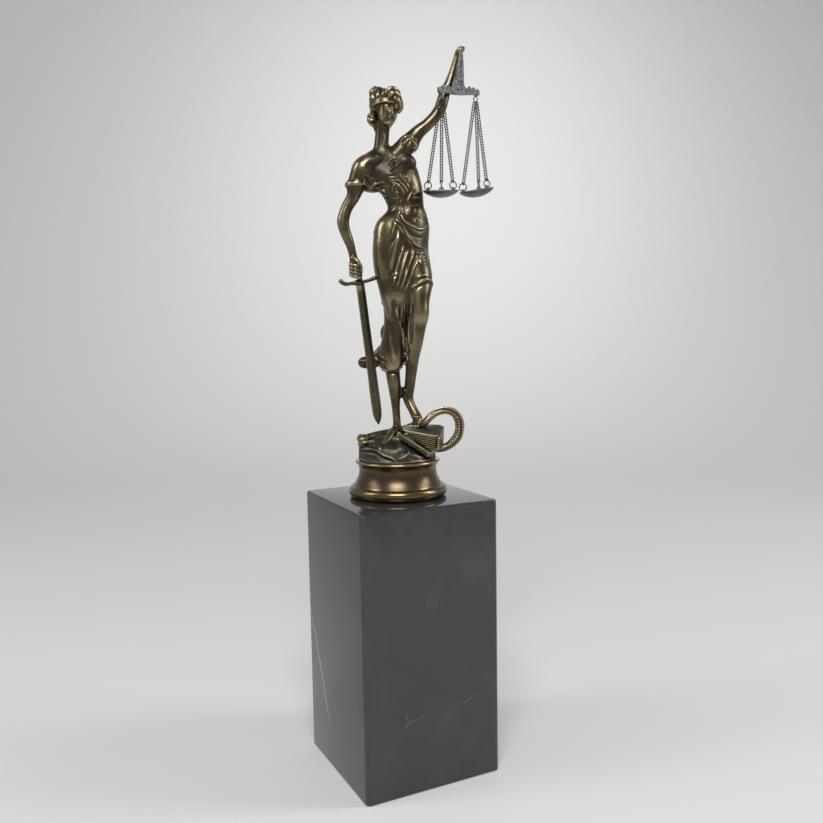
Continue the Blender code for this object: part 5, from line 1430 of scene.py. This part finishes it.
def makeScales():
    f = scaleForm
    middle, across = makeBeam()
    tree, keys = chainTree()
    for label, node, side, sway, tilt, firstLug, turns in f["pans"]:
        hook = middle + across * (side * f["hang"] * f["span"]) - up * (f["depth"] / 2 + f["beamRing"] + f["wire"] + f["gap"])
        makeRing(f"beamRing{label}", hook, across, f["beamRing"], f"beam_ring_{node}")
        apex = hook - up * (f["beamRing"] + f["wire"] + f["gap"])
        rim = apex - up * f["drop"] + direction(1, 0) * (sway * 0.001)
        lean = Matrix.Rotation(radians(f["panLean"]), 4, direction(1, 0)) @ Matrix.Rotation(radians(-tilt), 4, direction(0, 1))
        for k, eye in enumerate(makePan(f"scalePan{label}", Matrix.Translation(rim) @ lean, firstLug, f"scale_pan_{node}")):
            centre = eye + up * f["panRing"]
            outward = Vector((eye.x - rim.x, eye.y - rim.y, 0)).normalized()
            makeRing(f"panRing{label}{k + 1}", centre, up.cross(outward).normalized(), f["panRing"], f"pan_ring_{node}_{k + 1}")
            top = apex + outward * f["spread"]
            pull = (top - centre).normalized()
            makeChain(f"chain{label}{k + 1}", tree, keys, top, centre + pull * f["panRing"], turns[k], f"chain_{node}_{k + 1}")


makeSword()
makeScales()
print("sword and scales made")


# pale paper floor that rises all round into a soft wall, soft lights and the camera
stageForm = {"flat": 1.3, "rise": 1.5, "paper": (0.66, 0.665, 0.655, 1), "world": (0.80, 0.81, 0.80, 1), "worldStrength": 0.285}
lampForm = (
    # place, aimed at, width, height, watts
    ((-0.66, -1.25, 1.7), (0, 0, 0.3), 0.95, 0.7, 32.0),
    ((1.3, -0.7, 1.1), (0, 0, 0.3), 0.45, 1.0, 11.0),
    ((-1.3, 0.3, 1.2), (0, 0, 0.3), 0.45, 0.9, 7.0),
    ((0.86, 1.45, 1.45), (1.16, 2.3, 0.45), 0.6, 0.6, 9.5),
)


def makeStage():
    bm = bmesh.new()
    spans = [(0.02, 0.0), (0.5, 0.0), (stageForm["flat"], 0.0)]
    for t in np.linspace(0, pi / 2, 14)[1:]:
        spans.append((stageForm["flat"] + stageForm["rise"] * sin(t), stageForm["rise"] * (1 - cos(t))))
    spans += [(stageForm["flat"] + stageForm["rise"], stageForm["rise"] + extra) for extra in (0.4, 0.8)]
    loops = [[bm.verts.new((radius * cos(t), radius * sin(t), z)) for t in fullTurn(96)] for radius, z in spans]
    bm.faces.new(loops[0])
    for low, high in zip(loops, loops[1:]):
        for i in range(96):
            j = (i + 1) % 96
            bm.faces.new((low[i], low[j], high[j], high[i]))
    bmesh.ops.recalc_face_normals(bm, faces=bm.faces)
    if sum(face.normal.z for face in bm.faces) < 0:
        bmesh.ops.reverse_faces(bm, faces=bm.faces)
    mesh = bpy.data.meshes.new("paperFloor")
    bm.to_mesh(mesh)
    bm.free()
    mesh.shade_smooth()
    paper = bpy.data.materials.new("palePaper")
    paper.use_nodes = True
    matt = {"Base Color": stageForm["paper"], "Roughness": 0.7, "Specular IOR Level": 0.2}
    fill(paper.node_tree, paper.node_tree.nodes["Principled BSDF"], matt)
    mesh.materials.append(paper)
    floor = inScene("paperFloor", mesh)
    world = bpy.data.worlds.new("softRoom")
    bpy.context.scene.world = world
    world.use_nodes = True
    sky = {"Color": stageForm["world"], "Strength": stageForm["worldStrength"]}
    fill(world.node_tree, world.node_tree.nodes["Background"], sky)
    for k, (place, aim, width, height, watts) in enumerate(lampForm):
        lamp = bpy.data.lights.new(f"softLamp{k + 1}", "AREA")
        lamp.shape = "RECTANGLE"
        lamp.size, lamp.size_y = width, height
        lamp.energy = watts
        holder = inScene(f"softLamp{k + 1}", lamp)
        turn = (Vector(aim) - Vector(place)).to_track_quat("-Z", "Y").to_matrix().to_4x4()
        holder.matrix_world = Matrix.Translation(place) @ turn
        holder.visible_camera = False


def makeCamera():
    f = cameraSetup
    back = Vector((sin(f["turn"]) * cos(f["dip"]), -cos(f["turn"]) * cos(f["dip"]), sin(f["dip"])))
    right = Vector((cos(f["turn"]), sin(f["turn"]), 0))
    high = back.cross(right)
    rolled = right * cos(f["roll"]) + high * sin(f["roll"])
    upward = high * cos(f["roll"]) - right * sin(f["roll"])
    lens = bpy.data.cameras.new("studioCamera")
    lens.lens = f["lens"]
    lens.sensor_width = 36
    lens.clip_start = 0.01
    holder = inScene("studioCamera", lens)
    holder.matrix_world = Matrix.Translation(f["place"]) @ Matrix((rolled, upward, back)).transposed().to_4x4()
    bpy.context.scene.camera = holder


makeStage()
makeCamera()
bpy.context.scene.view_settings.view_transform = "Standard"
